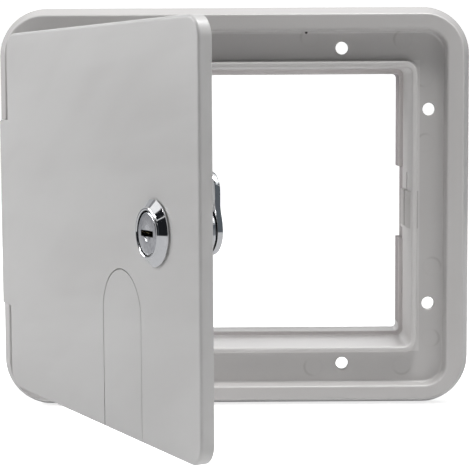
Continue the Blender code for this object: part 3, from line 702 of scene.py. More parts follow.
def start_material(name: str) -> tuple[bpy.types.Material, Nodes, bpy.types.Node, bpy.types.NodeSocket]:
    """A new material with its shader and the object's own coordinates.

    Args:
        name: the material's name.

    Returns:
        The material, a node helper, the Principled shader and the coordinates.
    """
    material = bpy.data.materials.new(name)
    material.use_nodes = True
    nodes = Nodes(material.node_tree)
    shader = material.node_tree.nodes["Principled BSDF"]
    place = nodes.add("TexCoord").outputs["Object"]
    return material, nodes, shader, place


@dataclass(frozen=True)
class Streak:
    """Soft streaks that the melt leaves along one direction."""

    along: Point
    scale: float
    amount: float


@dataclass(frozen=True)
class LightAndShadePatch:
    """A box in which a paler or darker tone is mixed into the plastic's colour; the frame uses these for
    painted light and painted shade, and for a darker keeper pad.
    """

    centre: Point
    half: Point
    tone: Colour
    amount: float


@dataclass(frozen=True)
class MouldedPlastic:
    """Off-white injection-moulded plastic with a soft gloss."""

    name: str = "off_white_moulding"
    light: Colour = (0.600, 0.594, 0.590, 1.0)
    dark: Colour = (0.580, 0.572, 0.568, 1.0)
    soil: Colour = (0.330, 0.315, 0.300, 1.0)
    low_gloss: float = 0.37
    high_gloss: float = 0.29
    streaks: tuple[Streak, ...] = ()
    streak_tone: Colour = (0.650, 0.646, 0.642, 1.0)
    marks: tuple[Point, ...] = ()
    mark_radius: float = 0.0034
    mark_width: float = 0.0008
    mark_amount: float = 0.34
    speck: Optional[Point] = None
    speck_tone: Colour = (0.02, 0.018, 0.016, 1.0)
    speck_edge: tuple[float, float] = (0.0008, 0.0010)
    speck_wobble: float = 0.0006
    light_and_shade: tuple[LightAndShadePatch, ...] = ()
    patch_gloss: float = 0.5

    def material(self) -> bpy.types.Material:
        """Build the finish: drifting tone and gloss, peel, and any streaks, pin marks, speck and boxes of
        painted light and shade.

        Returns:
            The material.
        """
        material, nodes, shader, place = start_material(self.name)
        tone = use_group(nodes, "cloud_tone", {"Vector": place, "Light": self.light, "Dark": self.dark,
                                               "Cloud Scale": 14.0, "Mottle Scale": 420.0, "Mottle": 0.10})
        colour = tone.outputs["Color"]
        gloss = nodes.ramp(tone.outputs["Mask"], 0.0, 1.0, self.high_gloss, self.low_gloss)
        for streak in self.streaks:
            drawn = use_group(nodes, "drawn_streaks", {"Vector": place, "Along": streak.along,
                                                       "Scale": streak.scale})
            share = nodes.maths("MULTIPLY", drawn.outputs["Mask"], streak.amount)
            colour = nodes.mix(share, colour, self.streak_tone)
        for x, z, side in self.marks:
            mark = use_group(nodes, "ring_mark", {"Vector": place, "Centre": (x, FLOOR_Y, CENTRE_Z + z),
                                                  "Radius": self.mark_radius, "Width": self.mark_width,
                                                  "Side": side})
            share = nodes.maths("MULTIPLY", mark.outputs["Mask"], self.mark_amount)
            colour = nodes.mix(share, colour, self.soil)
        if self.speck:
            gap = nodes.vector("DISTANCE", place, self.speck).outputs["Value"]
            wobble = nodes.add("TexNoise", {"Vector": place, "Scale": 1600.0, "Detail": 2.0}).outputs[0]
            edge = nodes.maths("ADD", gap, nodes.maths("MULTIPLY", wobble, self.speck_wobble))
            colour = nodes.mix(nodes.ramp(edge, *self.speck_edge, 1.0, 0.0), colour, self.speck_tone)
        # Boxes of painted light and shade: each mixes a paler or darker tone into the colour and makes that
        # part duller.
        for patch in self.light_and_shade:
            mask = use_group(nodes, "box_mask", {"Vector": place, "Centre": patch.centre,
                                                 "Half": patch.half}).outputs["Mask"]
            colour = nodes.mix(nodes.maths("MULTIPLY", mask, patch.amount), colour, patch.tone)
            gloss = nodes.maths("MAXIMUM", gloss, nodes.maths("MULTIPLY", mask, self.patch_gloss))
        nodes.tree.links.new(colour, shader.inputs["Base Color"])
        nodes.tree.links.new(gloss, shader.inputs["Roughness"])
        height = use_group(nodes, "skin_height", {"Vector": place, "Wave Scale": 18.0, "Wave": 1.0,
                                                  "Peel Scale": 1300.0, "Peel": 0.004})
        bump = nodes.add("Bump", {"Height": height.outputs[0], "Strength": 0.10, "Distance": 0.0004})
        nodes.tree.links.new(bump.outputs[0], shader.inputs["Normal"])
        return material


DOOR_STREAKS = (Streak((0.470, -0.873, 0.130), 70.0, 0.5), Streak((0.389, -0.722, 0.573), 38.0, 0.5))


@dataclass(frozen=True)
class GapShadeRing:
    """Painted shade: a near-black ring about the axis of two turned pieces, where the gap between them lies
    in shade.
    """

    centre: Point
    axis: Point
    radius: float
    half: float
    tone: Colour = (0.015, 0.015, 0.016, 1.0)


@dataclass(frozen=True)
class PlatedMetal:
    """Bright or satin plated metal with hairlines and a soft skin, and, where given, a ring of painted shade
    at a gap.
    """

    name: str
    light: Colour
    dark: Colour
    gloss: float
    worn: float
    stretch: Point = (1.0, 1.0, 0.05)
    lines: float = 0.3
    peel: float = 0.05
    wave: float = 0.3
    line_scale: float = 2600.0
    line_depth: float = 0.1
    tone_wear: float = 0.4
    gap: Optional[GapShadeRing] = None

    def material(self) -> bpy.types.Material:
        """Build the finish: tone, any ring of painted shade at a gap, hairlines in gloss and height, and the
        skin.

        Returns:
            The material.
        """
        material, nodes, shader, place = start_material(self.name)
        shader.inputs["Metallic"].default_value = 1.0
        tone = use_group(nodes, "cloud_tone", {"Vector": place, "Light": self.light, "Dark": self.dark,
                                               "Cloud Scale": 90.0, "Mottle Scale": 900.0, "Mottle": 0.5})
        colour = tone.outputs["Color"]
        # Painted shade: the colour turns near black in a thin ring where the gap lies in shade.
        if self.gap:
            gap = self.gap
            ring = use_group(nodes, "gap_shade_ring", {"Vector": place, "Centre": gap.centre, "Axis": gap.axis,
                                                 "Radius": gap.radius, "Half": gap.half})
            colour = nodes.mix(ring.outputs["Mask"], colour, gap.tone)
        nodes.tree.links.new(colour, shader.inputs["Base Color"])
        lines = use_group(nodes, "hairlines", {"Vector": place, "Stretch": self.stretch,
                                               "Scale": self.line_scale, "Amount": self.lines})
        worn_tone = nodes.maths("MULTIPLY", tone.outputs["Mask"], self.tone_wear)
        wear = nodes.maths("MAXIMUM", lines.outputs["Mask"], worn_tone)
        nodes.tree.links.new(nodes.ramp(wear, 0.0, 1.0, self.gloss, self.worn), shader.inputs["Roughness"])
        skin = use_group(nodes, "skin_height", {"Vector": place, "Wave Scale": 220.0, "Wave": self.wave,
                                                "Peel Scale": 3200.0, "Peel": self.peel})
        scratch = nodes.maths("MULTIPLY", lines.outputs["Mask"], self.line_depth)
        height = nodes.maths("SUBTRACT", skin.outputs["Height"], scratch)
        bump = nodes.add("Bump", {"Height": height, "Strength": 0.10, "Distance": 0.00006})
        nodes.tree.links.new(bump.outputs[0], shader.inputs["Normal"])
        return material


CHROME = PlatedMetal("chrome_plate", (0.86, 0.87, 0.88, 1.0), (0.80, 0.81, 0.83, 1.0), 0.05, 0.22, lines=0.12)
ZINC = PlatedMetal("zinc_plate", (0.66, 0.67, 0.69, 1.0), (0.50, 0.51, 0.53, 1.0), 0.26, 0.5,
                   stretch=(1.0, 0.2, 1.0), lines=0.5, peel=0.4, wave=0.6)
STEEL = PlatedMetal("drawn_steel", (0.58, 0.58, 0.59, 1.0), (0.46, 0.46, 0.47, 1.0), 0.22, 0.45, lines=0.8)
BRASS = PlatedMetal("stamped_brass", (0.80, 0.62, 0.30, 1.0), (0.66, 0.49, 0.22, 1.0), 0.2, 0.45, lines=0.5)


@dataclass
class FrameMoulding:
    """The one-piece frame: rim, recess, collar, throat, keeper and hinge bosses."""

    half_width: float = 0.089
    half_height: float = 0.0756
    rim_depth: float = RIM_DEPTH
    recess_depth: float = RECESS_DEPTH
    rim_width: float = 0.0081
    flare: float = 0.0006
    hollow_insets: tuple[float, ...] = (0.0058, 0.00568, 0.00385, 0.0017)
    hollow_depth: float = 0.0061
    slope_inset: float = 0.00225
    collar_inset: float = 0.0198
    collar_depth: float = 0.0029
    throat_inset: float = 0.0218
    throat_depth: float = 0.0322
    sleeve_inset: float = 0.0237
    rear_depth: float = 0.0442
    trims_x: tuple[float, ...] = (0.0, 0.00035, 0.0, 0.0)
    trims_z: tuple[float, ...] = (0.0, -0.00025, 0.0002, 0.00035)
    shifts_x: tuple[float, ...] = (0.0, -0.00035, 0.0, 0.0)
    shifts_z: tuple[float, ...] = (0.0, -0.0006, -0.0002, -0.00035)
    keeper_proud: float = 0.0011
    keeper_ends: tuple[float, float] = (-0.00945, 0.00565)
    keeper_depths: tuple[float, float] = (-0.0045, 0.0351)
    keeper_ramp: float = 0.006
    way_ends: tuple[float, float] = (-0.0361, 0.0343)
    way_right: float = -0.0796
    boss_ends: tuple[float, float] = (0.035, 0.0439)
    pin_way_radius: float = 0.0017
    pin_way_half: float = 0.0429
    notch_half: float = 0.01435
    cam_slot_depths: tuple[float, float] = (0.0086, 0.0118)
    cam_slot_ends: tuple[float, float] = (-0.0082, 0.01256)
    web_spacing: float = 0.030
    screw_radius: float = 0.00238
    screw_places: tuple[tuple[float, float], ...] = ((0.0408, 0.0606), (0.074, 0.0373))
    pin_marks: tuple[Point, ...] = (
        (0.0297, -0.0619, 3.6), (0.0639, -0.0615, -1.4), (0.0754, -0.0231, 0.9), (0.0749, -0.0509, 0.0),
        (0.0728, 0.0244, 2.4), (0.0721, 0.0493, 3.6), (0.0286, 0.0645, 2.4), (0.0640, 0.0637, 2.6),
        (-0.0297, -0.0619, 3.6), (-0.0639, -0.0615, -1.4), (-0.0740, -0.0231, 0.9), (-0.0740, 0.0244, 2.4),
        (-0.0286, 0.0645, 2.4), (-0.0640, 0.0637, 2.6))

    def corner(self, inset: np.ndarray) -> np.ndarray:
        """The corner radius at each inset, straight between the measured ones."""
        insets = (0.0, self.rim_width, self.collar_inset, self.throat_inset, self.sleeve_inset)
        return np.interp(inset, insets, (0.018, 0.008, 0.0045, 0.0028, 0.0016))

    def section(self) -> np.ndarray:
        """The moulding's section as rows of inset, depth and corner radius, rounded in turn.

        The rows run from the rim's back edge over its face, down into the
        recess, over the collar, through the throat to the sleeve's end, and
        back along the outside and the rim's hollow.

        Returns:
            Two columns, inset from the frame's outline and depth.
        """
        floor = self.recess_depth - self.rim_depth
        crest = self.collar_depth - self.rim_depth
        step = self.throat_depth - self.rim_depth
        rear = self.rear_depth - self.rim_depth
        inner, inner_floor, outer_floor, outer = self.hollow_insets
        corners = [
            (-self.flare, 0.0, 0.0003),
            (self.slope_inset, -self.rim_depth, 0.0008),
            (self.rim_width, -self.rim_depth, 0.0009),
            (self.rim_width + 0.0004, floor, 0.0008),
            (self.collar_inset - 0.0002, floor, 0.0006),
            (self.collar_inset, crest, 0.0007),
            (self.throat_inset, crest, 0.0008),
            (self.throat_inset + 0.0002, step, 0.0003),
            (self.sleeve_inset, step, 0.0004),
            (self.sleeve_inset + 0.00005, rear, 0.0004),
            (self.collar_inset + 0.00012, rear, 0.0004),
            (self.collar_inset, 0.0, 0.0005),
            (inner, 0.0, 0.0003),
            (inner_floor, -self.hollow_depth, 0.0005),
            (outer_floor, -self.hollow_depth, 0.0005),
            (outer, 0.0, 0.0003),
        ]
        return rounded_profile(corners)

    def body(self) -> Surface:
        """Carry the section round the rounded rectangle: every point moves in by its inset.

        The recess and the throat sit a few tenths of a millimetre lower than
        the outline's middle, so each loop is also trimmed and shifted by what
        its inset gives.

        Returns:
            The moulding's closed skin.
        """
        section = self.section()
        inset = section[:, 0]
        measured = (0.0, self.rim_width, self.collar_inset, self.sleeve_inset)
        trim_x, trim_z = np.interp(inset, measured, self.trims_x), np.interp(inset, measured, self.trims_z)
        loops = rectangle_loops(self.half_width - inset - trim_x, self.half_height - inset - trim_z,
                                self.corner(inset))
        loops[:, :, 0] += np.interp(inset, measured, self.shifts_x)[:, None]
        loops[:, :, 1] += np.interp(inset, measured, self.shifts_z)[:, None]
        return grid_surface(np.insert(loops, 1, section[:, 1][:, None], axis=2), ring=True)

    def webs(self) -> Surface:
        """Stiffening webs across the hollow rim and the bosses that hold the hinge pin.

        Returns:
            All of them as one surface.
        """
        top, bottom = -0.0064, -0.0006
        near, far, half = 0.0020, 0.0061, 0.00075
        parts: list[Surface] = []
        for x in np.arange(-2, 3) * self.web_spacing:
            for side in (-1, 1):
                ends = sorted((side * (self.half_height - near), side * (self.half_height - far)))
                parts.append(block((x - half, top, ends[0]), (x + half, bottom, ends[1])))
        left, right = -self.half_width, self.half_width
        for z in np.arange(-1.5, 2.0) * self.web_spacing:
            parts.append(block((right - far, top, z - half), (right - near, bottom, z + half)))
        for side in (-1, 1):
            ends = sorted(side * end for end in self.boss_ends)
            parts.append(block((left + near, top, ends[0]), (left + far, bottom, ends[1])))
        return sum(parts[1:], parts[0])

    def keeper(self) -> Surface:
        """The ramped pad on the throat's wall that the cam slides over.

        Returns:
            The pad, a flat outline drawn out along Z.
        """
        wall = self.half_width - self.throat_inset
        root, face = wall + self.keeper_proud, wall - self.keeper_proud
        start, end = self.keeper_depths
        outline = np.array([(root, start), (wall, start), (face, start + self.keeper_ramp), (face, end),
                            (root, end)])
        return prism(outline, Along.Z, *self.keeper_ends)

    def cutters(self) -> tuple[Surface, Surface]:
        """What is cut away, in two sets whose members don't meet.

        Returns:
            First the sleeve's notch, hinge way and screw holes with their
            countersinks, and then the cam's slot and the hinge pin's way.
        """
        floor = self.recess_depth - self.rim_depth
        wall = self.half_width - self.throat_inset
        notch = block((wall - 0.005, self.throat_depth - self.rim_depth - 0.0005, -self.notch_half),
                      (wall - 0.0003, 0.040, self.notch_half))
        outside, before, behind, right, ledge = -0.095, -0.012, 0.004, self.way_right, self.way_right - 0.0012
        steps = np.array([(outside, before), (right, before), (right, floor + 0.0002),
                          (ledge, floor + 0.0002), (ledge, behind), (outside, behind)])
        first = notch + prism(steps, Along.Z, *self.way_ends)
        hole = np.array([(self.screw_radius + 0.0009, floor - 0.0006), (self.screw_radius + 0.0003, floor),
                         (self.screw_radius, floor + 0.0003), (self.screw_radius, 0.002)])
        for x, z in self.screw_places:
            for side_x in (-1, 1):
                for side_z in (-1, 1):
                    first = first + revolve(hole, 48, False, centre=(side_x * x, side_z * z))
        (slot_front, slot_back), (slot_low, slot_high) = self.cam_slot_depths, self.cam_slot_ends
        slot = block((wall - 0.0022, slot_front, slot_low), (wall + 0.004, slot_back, slot_high))
        pin = rod(self.pin_way_radius, self.pin_way_half, 32, Along.Z, (HINGE_X, HINGE_Y))
        return first, slot + pin

    def light_and_shade(self) -> tuple[LightAndShadePatch, ...]:
        """Painted light on the collar's crest, the throat's right flank and the sleeve's ledge, painted shade
        down the sleeve, and a darker tone on the keeper pad; all of them duller too.

        Returns:
            One patch for each of them.
        """
        wall = self.half_width - self.throat_inset
        step = self.throat_depth - self.rim_depth
        sleeve = 0.030
        return (
            # Painted light: the collar's crest made paler.
            LightAndShadePatch((0.0, -0.0055, CENTRE_Z - 0.0002), (0.0706, 0.0012, 0.0570),
                  (0.730, 0.716, 0.708, 1.0), 0.6),
            # Painted light on the throat's right flank.
            LightAndShadePatch((wall + 0.0008, 0.0095, CENTRE_Z), (0.0026, 0.0140, 0.0560),
                  (0.700, 0.688, 0.680, 1.0), 0.9),
            # A darker tone on the keeper pad.
            LightAndShadePatch((wall, 0.0160, CENTRE_Z - 0.0012), (0.0030, 0.0195, 0.0073),
                  (0.330, 0.315, 0.300, 1.0), 0.4),
            # Painted shade down the sleeve behind the step.
            LightAndShadePatch((0.0, sleeve, CENTRE_Z + 0.012), (0.08, sleeve - step - 0.0003, 0.0610),
                  (0.340, 0.305, 0.308, 1.0), 0.9),
            # Painted light on the ledge at the sleeve's step.
            LightAndShadePatch((0.0, step, CENTRE_Z), (0.08, 0.0003, 0.08), (0.760, 0.725, 0.722, 1.0), 0.9),
        )

    def build(self) -> bpy.types.Object:
        """Make the frame and dress it.

        Returns:
            The dressed piece.
        """
        item = solid("frame_moulding", self.body())
        shape(item, self.webs(), Join.ADD)
        shape(item, self.keeper(), Join.ADD)
        first, second = self.cutters()
        shape(item, first, Join.CUT)
        shape(item, second, Join.CUT)
        # The frame's finish carries boxes of painted light and shade.
        finish = MouldedPlastic(name="frame_plastic", light=(0.604, 0.592, 0.586, 1.0),
                                dark=(0.584, 0.570, 0.564, 1.0), marks=self.pin_marks,
                                speck=(0.0272, -0.0029, CENTRE_Z + 0.0664), light_and_shade=self.light_and_shade())
        return fit_piece(item, finish.material(), HATCH, "frame_body", ["frame"], "plastic")


@dataclass
class DoorShell:
    """The door's dished form, which the door and the cord flap are both cut from."""

    left: float = 0.0070
    right: float = 0.1650
    half_height: float = 0.0662
    front: float = DOOR_FRONT
    face: float = 0.0023
    skirt: float = 0.0045
    skirt_wall: float = 0.0021
    corner_radius: float = 0.007
    flap_u: float = 0.1096
    flap_radius: float = 0.0144
    flap_gap: float = 0.0004
    flap_z: float = -0.0270
    flap_axis_depth: float = 0.0025
    flap_bore: float = 0.001
    flange: float = 0.0055
    below: float = -0.08

    def tray(self) -> Surface:
        """Carry the dished section round the door's outline and close both ends flat.

        Returns:
            The form as one closed skin.
        """
        back, end = self.front + self.face, self.front + self.skirt
        corners = [
            (self.flange, self.front, 0.0),
            (0.0, self.front, 0.0010),
            (0.0, end, 0.0004),
            (self.skirt_wall - 0.0001, end, 0.0004),
            (self.skirt_wall, back, 0.0005),
            (self.flange, back, 0.0),
        ]
        section = rounded_profile(corners, closed=False)
        inset = section[:, 0]
        middle = (self.left + self.right) / 2
        half_width = (self.right - self.left) / 2
        loops = rectangle_loops(half_width - inset, self.half_height - inset, self.corner_radius - inset)
        loops[:, :, 0] += middle
        return grid_surface(np.insert(loops, 1, section[:, 1][:, None], axis=2), ring=False)

    def arch(self, radius: float, foot: float) -> np.ndarray:
        """An arch outline: half a circle about the flap's axis, with legs down to the foot.

        Args:
            radius: the arch's radius.
            foot: the height at which the legs end.

        Returns:
            Two columns, along the door and up.
        """
        top = disc_outline(radius, 64, (self.flap_u, self.flap_z), 0.0, math.pi)
        legs = np.array([(self.flap_u - radius, foot), (self.flap_u + radius, foot)])
        return np.concatenate((top, legs))


@dataclass
class HatchDoor(DoorShell):
    """The door with its hinge leaf, the flap's way and reveal, and the lock's hole."""

    knuckle_radius: float = 0.004
    knuckle_half: float = 0.035
    knuckle_drop: float = 0.0008
    knuckle_round: float = 0.0006
    leaf_end: float = 0.0083
    pin_way_radius: float = 0.0017
    reveal_wall: float = 0.0016
    reveal_depth: float = 0.0043
    reveal_foot: float = -0.0518
    nib_reach: float = 0.0014
    nib_ends: tuple[float, float] = (-0.0490, -0.0450)
    lock_u: float = LOCK_U
    lock_z: float = LOCK_Z
    lock_way_radius: float = 0.00825
    lock_way_flat: float = 0.00745

    def leaf(self) -> Surface:
        """The hinge knuckle: half a circle about the pin joined to the door's slab.

        Near each end the outline draws in along a quarter circle, so that the
        knuckle's ends are rounded.

        Returns:
            The knuckle as one closed skin.
        """
        back = self.front + self.face
        join = math.asin(back / self.knuckle_radius)
        curve = disc_outline(self.knuckle_radius, 48, (0.0, 0.0), -math.pi / 2, join - 1.5 * math.pi)
        outline = np.concatenate((np.array([(self.leaf_end, self.front)]), curve,
                                  np.array([(self.leaf_end, back)])))
        round_end = self.knuckle_round
        quarter = np.linspace(0.0, math.pi / 2, 5)
        draw = np.concatenate((round_end * (1 - np.sin(quarter)), round_end * (1 - np.sin(quarter))[::-1]))
        into = round_end * (1 - np.cos(quarter))
        level = np.concatenate((-self.knuckle_half + into, self.knuckle_half - into[::-1]))
        level = level - self.knuckle_drop
        reach = np.linalg.norm(outline, axis=1)
        on_curve = reach <= self.knuckle_radius + 1e-6
        scale = np.where(on_curve[None], 1.0 - draw[:, None] / self.knuckle_radius, 1.0)
        rows = outline[None] * scale[:, :, None]
        return grid_surface(np.insert(rows, 2, level[:, None], axis=2), ring=False)

    def build(self) -> bpy.types.Object:
        """Make the door and dress it.

        Returns:
            The dressed piece.
        """
        back, reveal_end = self.front + self.face, self.front + self.reveal_depth
        through = (-0.01, 0.01)
        opening = self.flap_radius + self.flap_gap
        item = solid("door_moulding", self.tray())
        shape(item, self.leaf(), Join.ADD)
        reveal = self.arch(opening + self.reveal_wall, self.reveal_foot)
        shape(item, prism(reveal, Along.Y, back - 0.0003, reveal_end), Join.ADD)
        shape(item, prism(self.arch(opening, self.below), Along.Y, *through), Join.CUT)
        (low, high), root, tip = self.nib_ends, opening + 0.0004, opening - self.nib_reach
        nibs = [block((min(a, b), back + 0.0003, low), (max(a, b), reveal_end, high))
                for a, b in ((self.flap_u + s * root, self.flap_u + s * tip) for s in (-1, 1))]
        shape(item, nibs[0] + nibs[1], Join.ADD)
        flap_way = rod(self.flap_bore, 0.0168, 24, Along.X, (self.front + self.flap_axis_depth, self.flap_z),
                       self.flap_u)
        round_way = disc_outline(self.lock_way_radius, 96, (self.lock_u, self.lock_z))
        round_way[:, 0] = np.clip(round_way[:, 0], self.lock_u - self.lock_way_flat,
                                  self.lock_u + self.lock_way_flat)
        pin_way = rod(self.pin_way_radius, 0.04, 32, Along.Z)
        shape(item, flap_way + prism(round_way, Along.Y, *through) + pin_way, Join.CUT)
        soften(item, 0.00018, 2, 60.0)
        finish = MouldedPlastic(name="door_plastic", streaks=DOOR_STREAKS)
        return fit_piece(item, finish.material(), DOOR, "door_body", ["door"], "plastic")


@dataclass
class CordFlap(DoorShell):
    """The arch-topped flap in the door's lower edge, a little to one side in its way."""

    barrel_radius: float = 0.0019
    barrel_edge: float = 0.0003
    sideways: float = 0.0001

    def build(self) -> bpy.types.Object:
        """Cut the flap from the door's form and add its hinge barrel.

        Returns:
            The dressed piece.
        """
        axis = (self.front + self.flap_axis_depth, self.flap_z)
        item = solid("cord_flap_moulding", self.tray())
        shape(item, prism(self.arch(self.flap_radius, self.below), Along.Y, -0.01, 0.01), Join.COMMON)
        half, edge = self.flap_radius - self.flap_gap, self.barrel_edge
        barrel = np.array([(self.barrel_radius - edge, self.flap_u - half),
                           (self.barrel_radius, self.flap_u - half + edge),
                           (self.barrel_radius, self.flap_u + half - edge),
                           (self.barrel_radius - edge, self.flap_u + half)])
        shape(item, revolve(barrel, 40, False, Along.X, axis), Join.ADD)
        shape(item, rod(self.flap_bore, 0.0148, 24, Along.X, axis, self.flap_u), Join.CUT)
        soften(item, 0.00015, 2, 60.0)
        finish = MouldedPlastic(name="flap_plastic", streaks=DOOR_STREAKS)
        place = DOOR.shifted(self.sideways, 0.0, 0.0)
        return fit_piece(item, finish.material(), place, "flap_body", ["cord_flap"], "plastic")


@dataclass
class Pins:
    """The door's hinge pin and the flap's pin, with chamfered ends."""

    hinge_radius: float = 0.0015
    hinge_half: float = 0.0426
    flap_radius: float = 0.0008
    flap_half: float = 0.0161

    @staticmethod
    def pin(radius: float, half: float, along: Along) -> Surface:
        """A straight pin whose radius shrinks over its last part at both ends.

        Args:
            radius: the pin's radius.
            half: half its length.
            along: the axis that it lies on.

        Returns:
            The pin as a turned form.
        """
        chamfer = radius / 3
        profile = np.array([(radius - chamfer, -half), (radius, -half + chamfer),
                            (radius, half - chamfer), (radius - chamfer, half)])
        return revolve(profile, 40, False, along)

    def build(self) -> None:
        """Make both pins and dress them."""
        steel = STEEL.material()
        hinge = solid("hinge_pin_steel", self.pin(self.hinge_radius, self.hinge_half, Along.Z))
        fit_piece(hinge, steel, DOOR, "frame_body", ["hinge_pin"], "steel")
        flap = solid("flap_pin_steel", self.pin(self.flap_radius, self.flap_half, Along.X))
        shell = DoorShell()
        place = DOOR.shifted(shell.flap_u, shell.front + shell.flap_axis_depth, shell.flap_z)
        fit_piece(flap, steel, place, "door_body", ["flap_pin"], "steel")


@dataclass
class CamLock:
    """The chromed lock: housing, plug, plates, cam and what holds them."""

    place: Placement = field(default_factory=lambda: DOOR.shifted(LOCK_U, DOOR_FRONT, LOCK_Z))
    bezel_radius: float = 0.0104
    bezel_height: float = 0.0030
    ring_radius: float = 0.0078
    barrel_radius: float = 0.008
    barrel_flat: float = 0.0072
    barrel_length: float = 0.0155
    bore: float = 0.0061
    head_bore: float = 0.00705
    plug_radius: float = 0.0059
    head_radius: float = 0.0066
    dish_radius: float = 0.0027
    dish_depth: float = 0.0004
    thread_start: float = 0.0024
    thread_pitch: float = 0.001
    thread_depth: float = 0.0005
    chamfer: float = 0.0006
    lug_end: float = 0.0171
    plug_end: float = 0.0158
    key_half: float = 0.0043
    key_side: float = 0.00095
    key_end: float = 0.0117
    tail_half: float = 0.0029
    tail_ends: tuple[float, float] = (0.0150, 0.0194)
    slot_half: float = 0.00075
    slot_height: float = 0.0026
    screw_way_radius: float = 0.0019
    screw_way_ends: tuple[float, float] = (0.0146, 0.0207)
    wafers: int = 4
    wafer_first: float = 0.002
    wafer_pitch: float = 0.0024
    sides: int = 144

    def housing(self) -> bpy.types.Object:
        """The housing as one ring-shaped grid, with the lug that stops the turn behind it.

        The outside follows the rounded profile, and between the seat and the
        rear its radius rises and falls along a helix: depth times a triangle
        wave of level over pitch plus the turned share. The two flats come from
        limiting the sideways coordinate behind the seat.

        Returns:
            The housing, still in the lock's own axes.
        """
        floor = -self.bezel_height + 0.0016
        front = [
            (self.bore, floor, 0.0),
            (self.head_bore, floor, 0.0),
            (self.head_bore, -self.bezel_height, 0.0003),
            (self.ring_radius + 0.0002, -self.bezel_height, 0.0004),
            (self.ring_radius + 0.0003, -self.bezel_height + 0.00045, 0.0001),
            (self.bezel_radius - 0.0004, -0.00105, 0.00015),
            (self.bezel_radius, -0.00075, 0.0001),
            (self.bezel_radius, -0.0003, 0.0001),
            (self.barrel_radius, -0.0003, 0.0),
        ]
        head = rounded_profile(front, steps=4, support=0.00008, closed=False)
        steps_per_turn, turns = 12, 15
        levels = np.linspace(0.0, self.barrel_length - self.chamfer, 1 + steps_per_turn * turns)
        shank = np.stack((np.full_like(levels, self.barrel_radius), levels), axis=1)
        end = self.barrel_length
        rear = np.array([(self.barrel_radius - self.chamfer, end), (self.bore, end)])
        profile = np.concatenate((head, shank, rear))
        angle = np.linspace(0.0, 2 * math.pi, self.sides, endpoint=False)
        phase = profile[:, 1:] / self.thread_pitch + angle / (2 * math.pi)
        wave = np.abs((phase % 1.0) * 2 - 1)
        threaded = np.clip((profile[:, 1:] - self.thread_start) / 0.0006, 0.0, 1.0)
        threaded[-2:] = 0.0
        radius = profile[:, :1] - self.thread_depth * wave * threaded
        x, z = radius * np.cos(angle), radius * np.sin(angle)
        behind = profile[:, 1:] > -0.0001
        x = np.where(behind, np.clip(x, -self.barrel_flat, self.barrel_flat), x)
        level = np.broadcast_to(profile[:, 1:], x.shape)
        item = solid("lock_housing_chrome", grid_surface(np.stack((x, level, z), axis=2), ring=True))
        start, sweep = math.radians(-73.5), math.radians(237.0)
        outer = disc_outline(self.barrel_radius - self.chamfer, 60, (0, 0), start, sweep)
        outer[:, 0] = np.clip(outer[:, 0], -self.barrel_flat, self.barrel_flat)
        inner = disc_outline(0.0066, 60, (0, 0), start, sweep)[::-1]
        lug = prism(np.concatenate((outer, inner)), Along.Y, self.barrel_length - 0.0004, self.lug_end)
        shape(item, lug, Join.ADD)
        return item

    def plug(self) -> bpy.types.Object:
        """The plug: a lathe form with a shallow bowl in its face, the keyway, the slots and its tail.

        The bowl is part of a ball whose radius is the bowl's radius squared
        plus its depth squared, over twice its depth.

        Returns:
            The plug, still in the lock's own axes.
        """
        front = -self.bezel_height + 0.0003
        profile = rounded_profile([
            (0.0005, front, 0.0), (self.head_radius, front, 0.00045),
            (self.head_radius, front + 0.001, 0.0001),
            (self.plug_radius, front + 0.001, 0.0), (self.plug_radius, self.plug_end, 0.0003),
            (0.0005, self.plug_end, 0.0),
        ], steps=4, support=0.0001, closed=False)
        item = solid("lock_plug_chrome", revolve(profile, 96, False))
        tail, (tail_start, tail_end) = self.tail_half, self.tail_ends
        shape(item, block((-tail, tail_start, -tail), (tail, tail_end, tail)), Join.ADD)
        ball = (self.dish_radius ** 2 + self.dish_depth ** 2) / (2 * self.dish_depth)
        turn = np.linspace(0.0, math.pi, 97)[1:-1]
        bowl = np.stack((ball * np.sin(turn), front + self.dish_depth - ball - ball * np.cos(turn)), axis=1)
        shape(item, revolve(bowl, 96, False), Join.CUT)
        half, side, edge = self.key_half, self.key_side, 0.0003
        key = rounded_profile([(-half, -side, edge), (half, -side, edge), (half, side, edge),
                               (-half, side, edge)], steps=3)
        shape(item, prism(key, Along.Y, front - 0.001, self.key_end), Join.CUT)
        places = [self.wafer_first + k * self.wafer_pitch for k in range(self.wafers)]
        reach, height = self.barrel_radius, self.slot_height
        slots = [block((-reach, place - self.slot_half, -height), (reach, place + self.slot_half, height))
                 for place in places]
        shape(item, sum(slots[1:], slots[0]), Join.CUT)
        way = np.array([(self.screw_way_radius, end) for end in self.screw_way_ends])
        shape(item, revolve(way, 32, False), Join.CUT)
        return item

    def nut(self) -> bpy.types.Object:
        """The hexagonal nut, its corners chamfered at both ends.

        The outline is a hexagon, so its radius is the half width across flats
        over the cosine of the angle to the nearest flat's middle, and at both
        ends it is limited to a circle that opens with depth.

        Returns:
            The nut, still in the lock's own axes.
        """
        half_flat, start, end = 0.0100, 0.0037, 0.0077
        angle = np.linspace(0.0, 2 * math.pi, self.sides, endpoint=False)
        nearest = angle % (math.pi / 3) - math.pi / 6
        hexagon = half_flat / np.cos(nearest)
        rise = np.array([0.0, 0.0003, 0.0006, 0.0010])
        levels = np.concatenate((start + rise, end - rise[::-1]))
        reach = half_flat - 0.00015 + 1.9 * np.concatenate((rise, rise[::-1]))
        outer = np.minimum(hexagon[None], reach[:, None])
        inner = np.array([0.0084, 0.0082, 0.0082, 0.0084])
        inner_levels = np.array([end, end - 0.0002, start + 0.0002, start])
        radius = np.concatenate((outer, np.broadcast_to(inner[:, None], (len(inner), self.sides))))
        level = np.concatenate((levels, inner_levels))[:, None] + 0 * radius
        grid = np.stack((radius * np.cos(angle), level, radius * np.sin(angle)), axis=2)
        return solid("lock_nut_zinc", grid_surface(grid, ring=True))

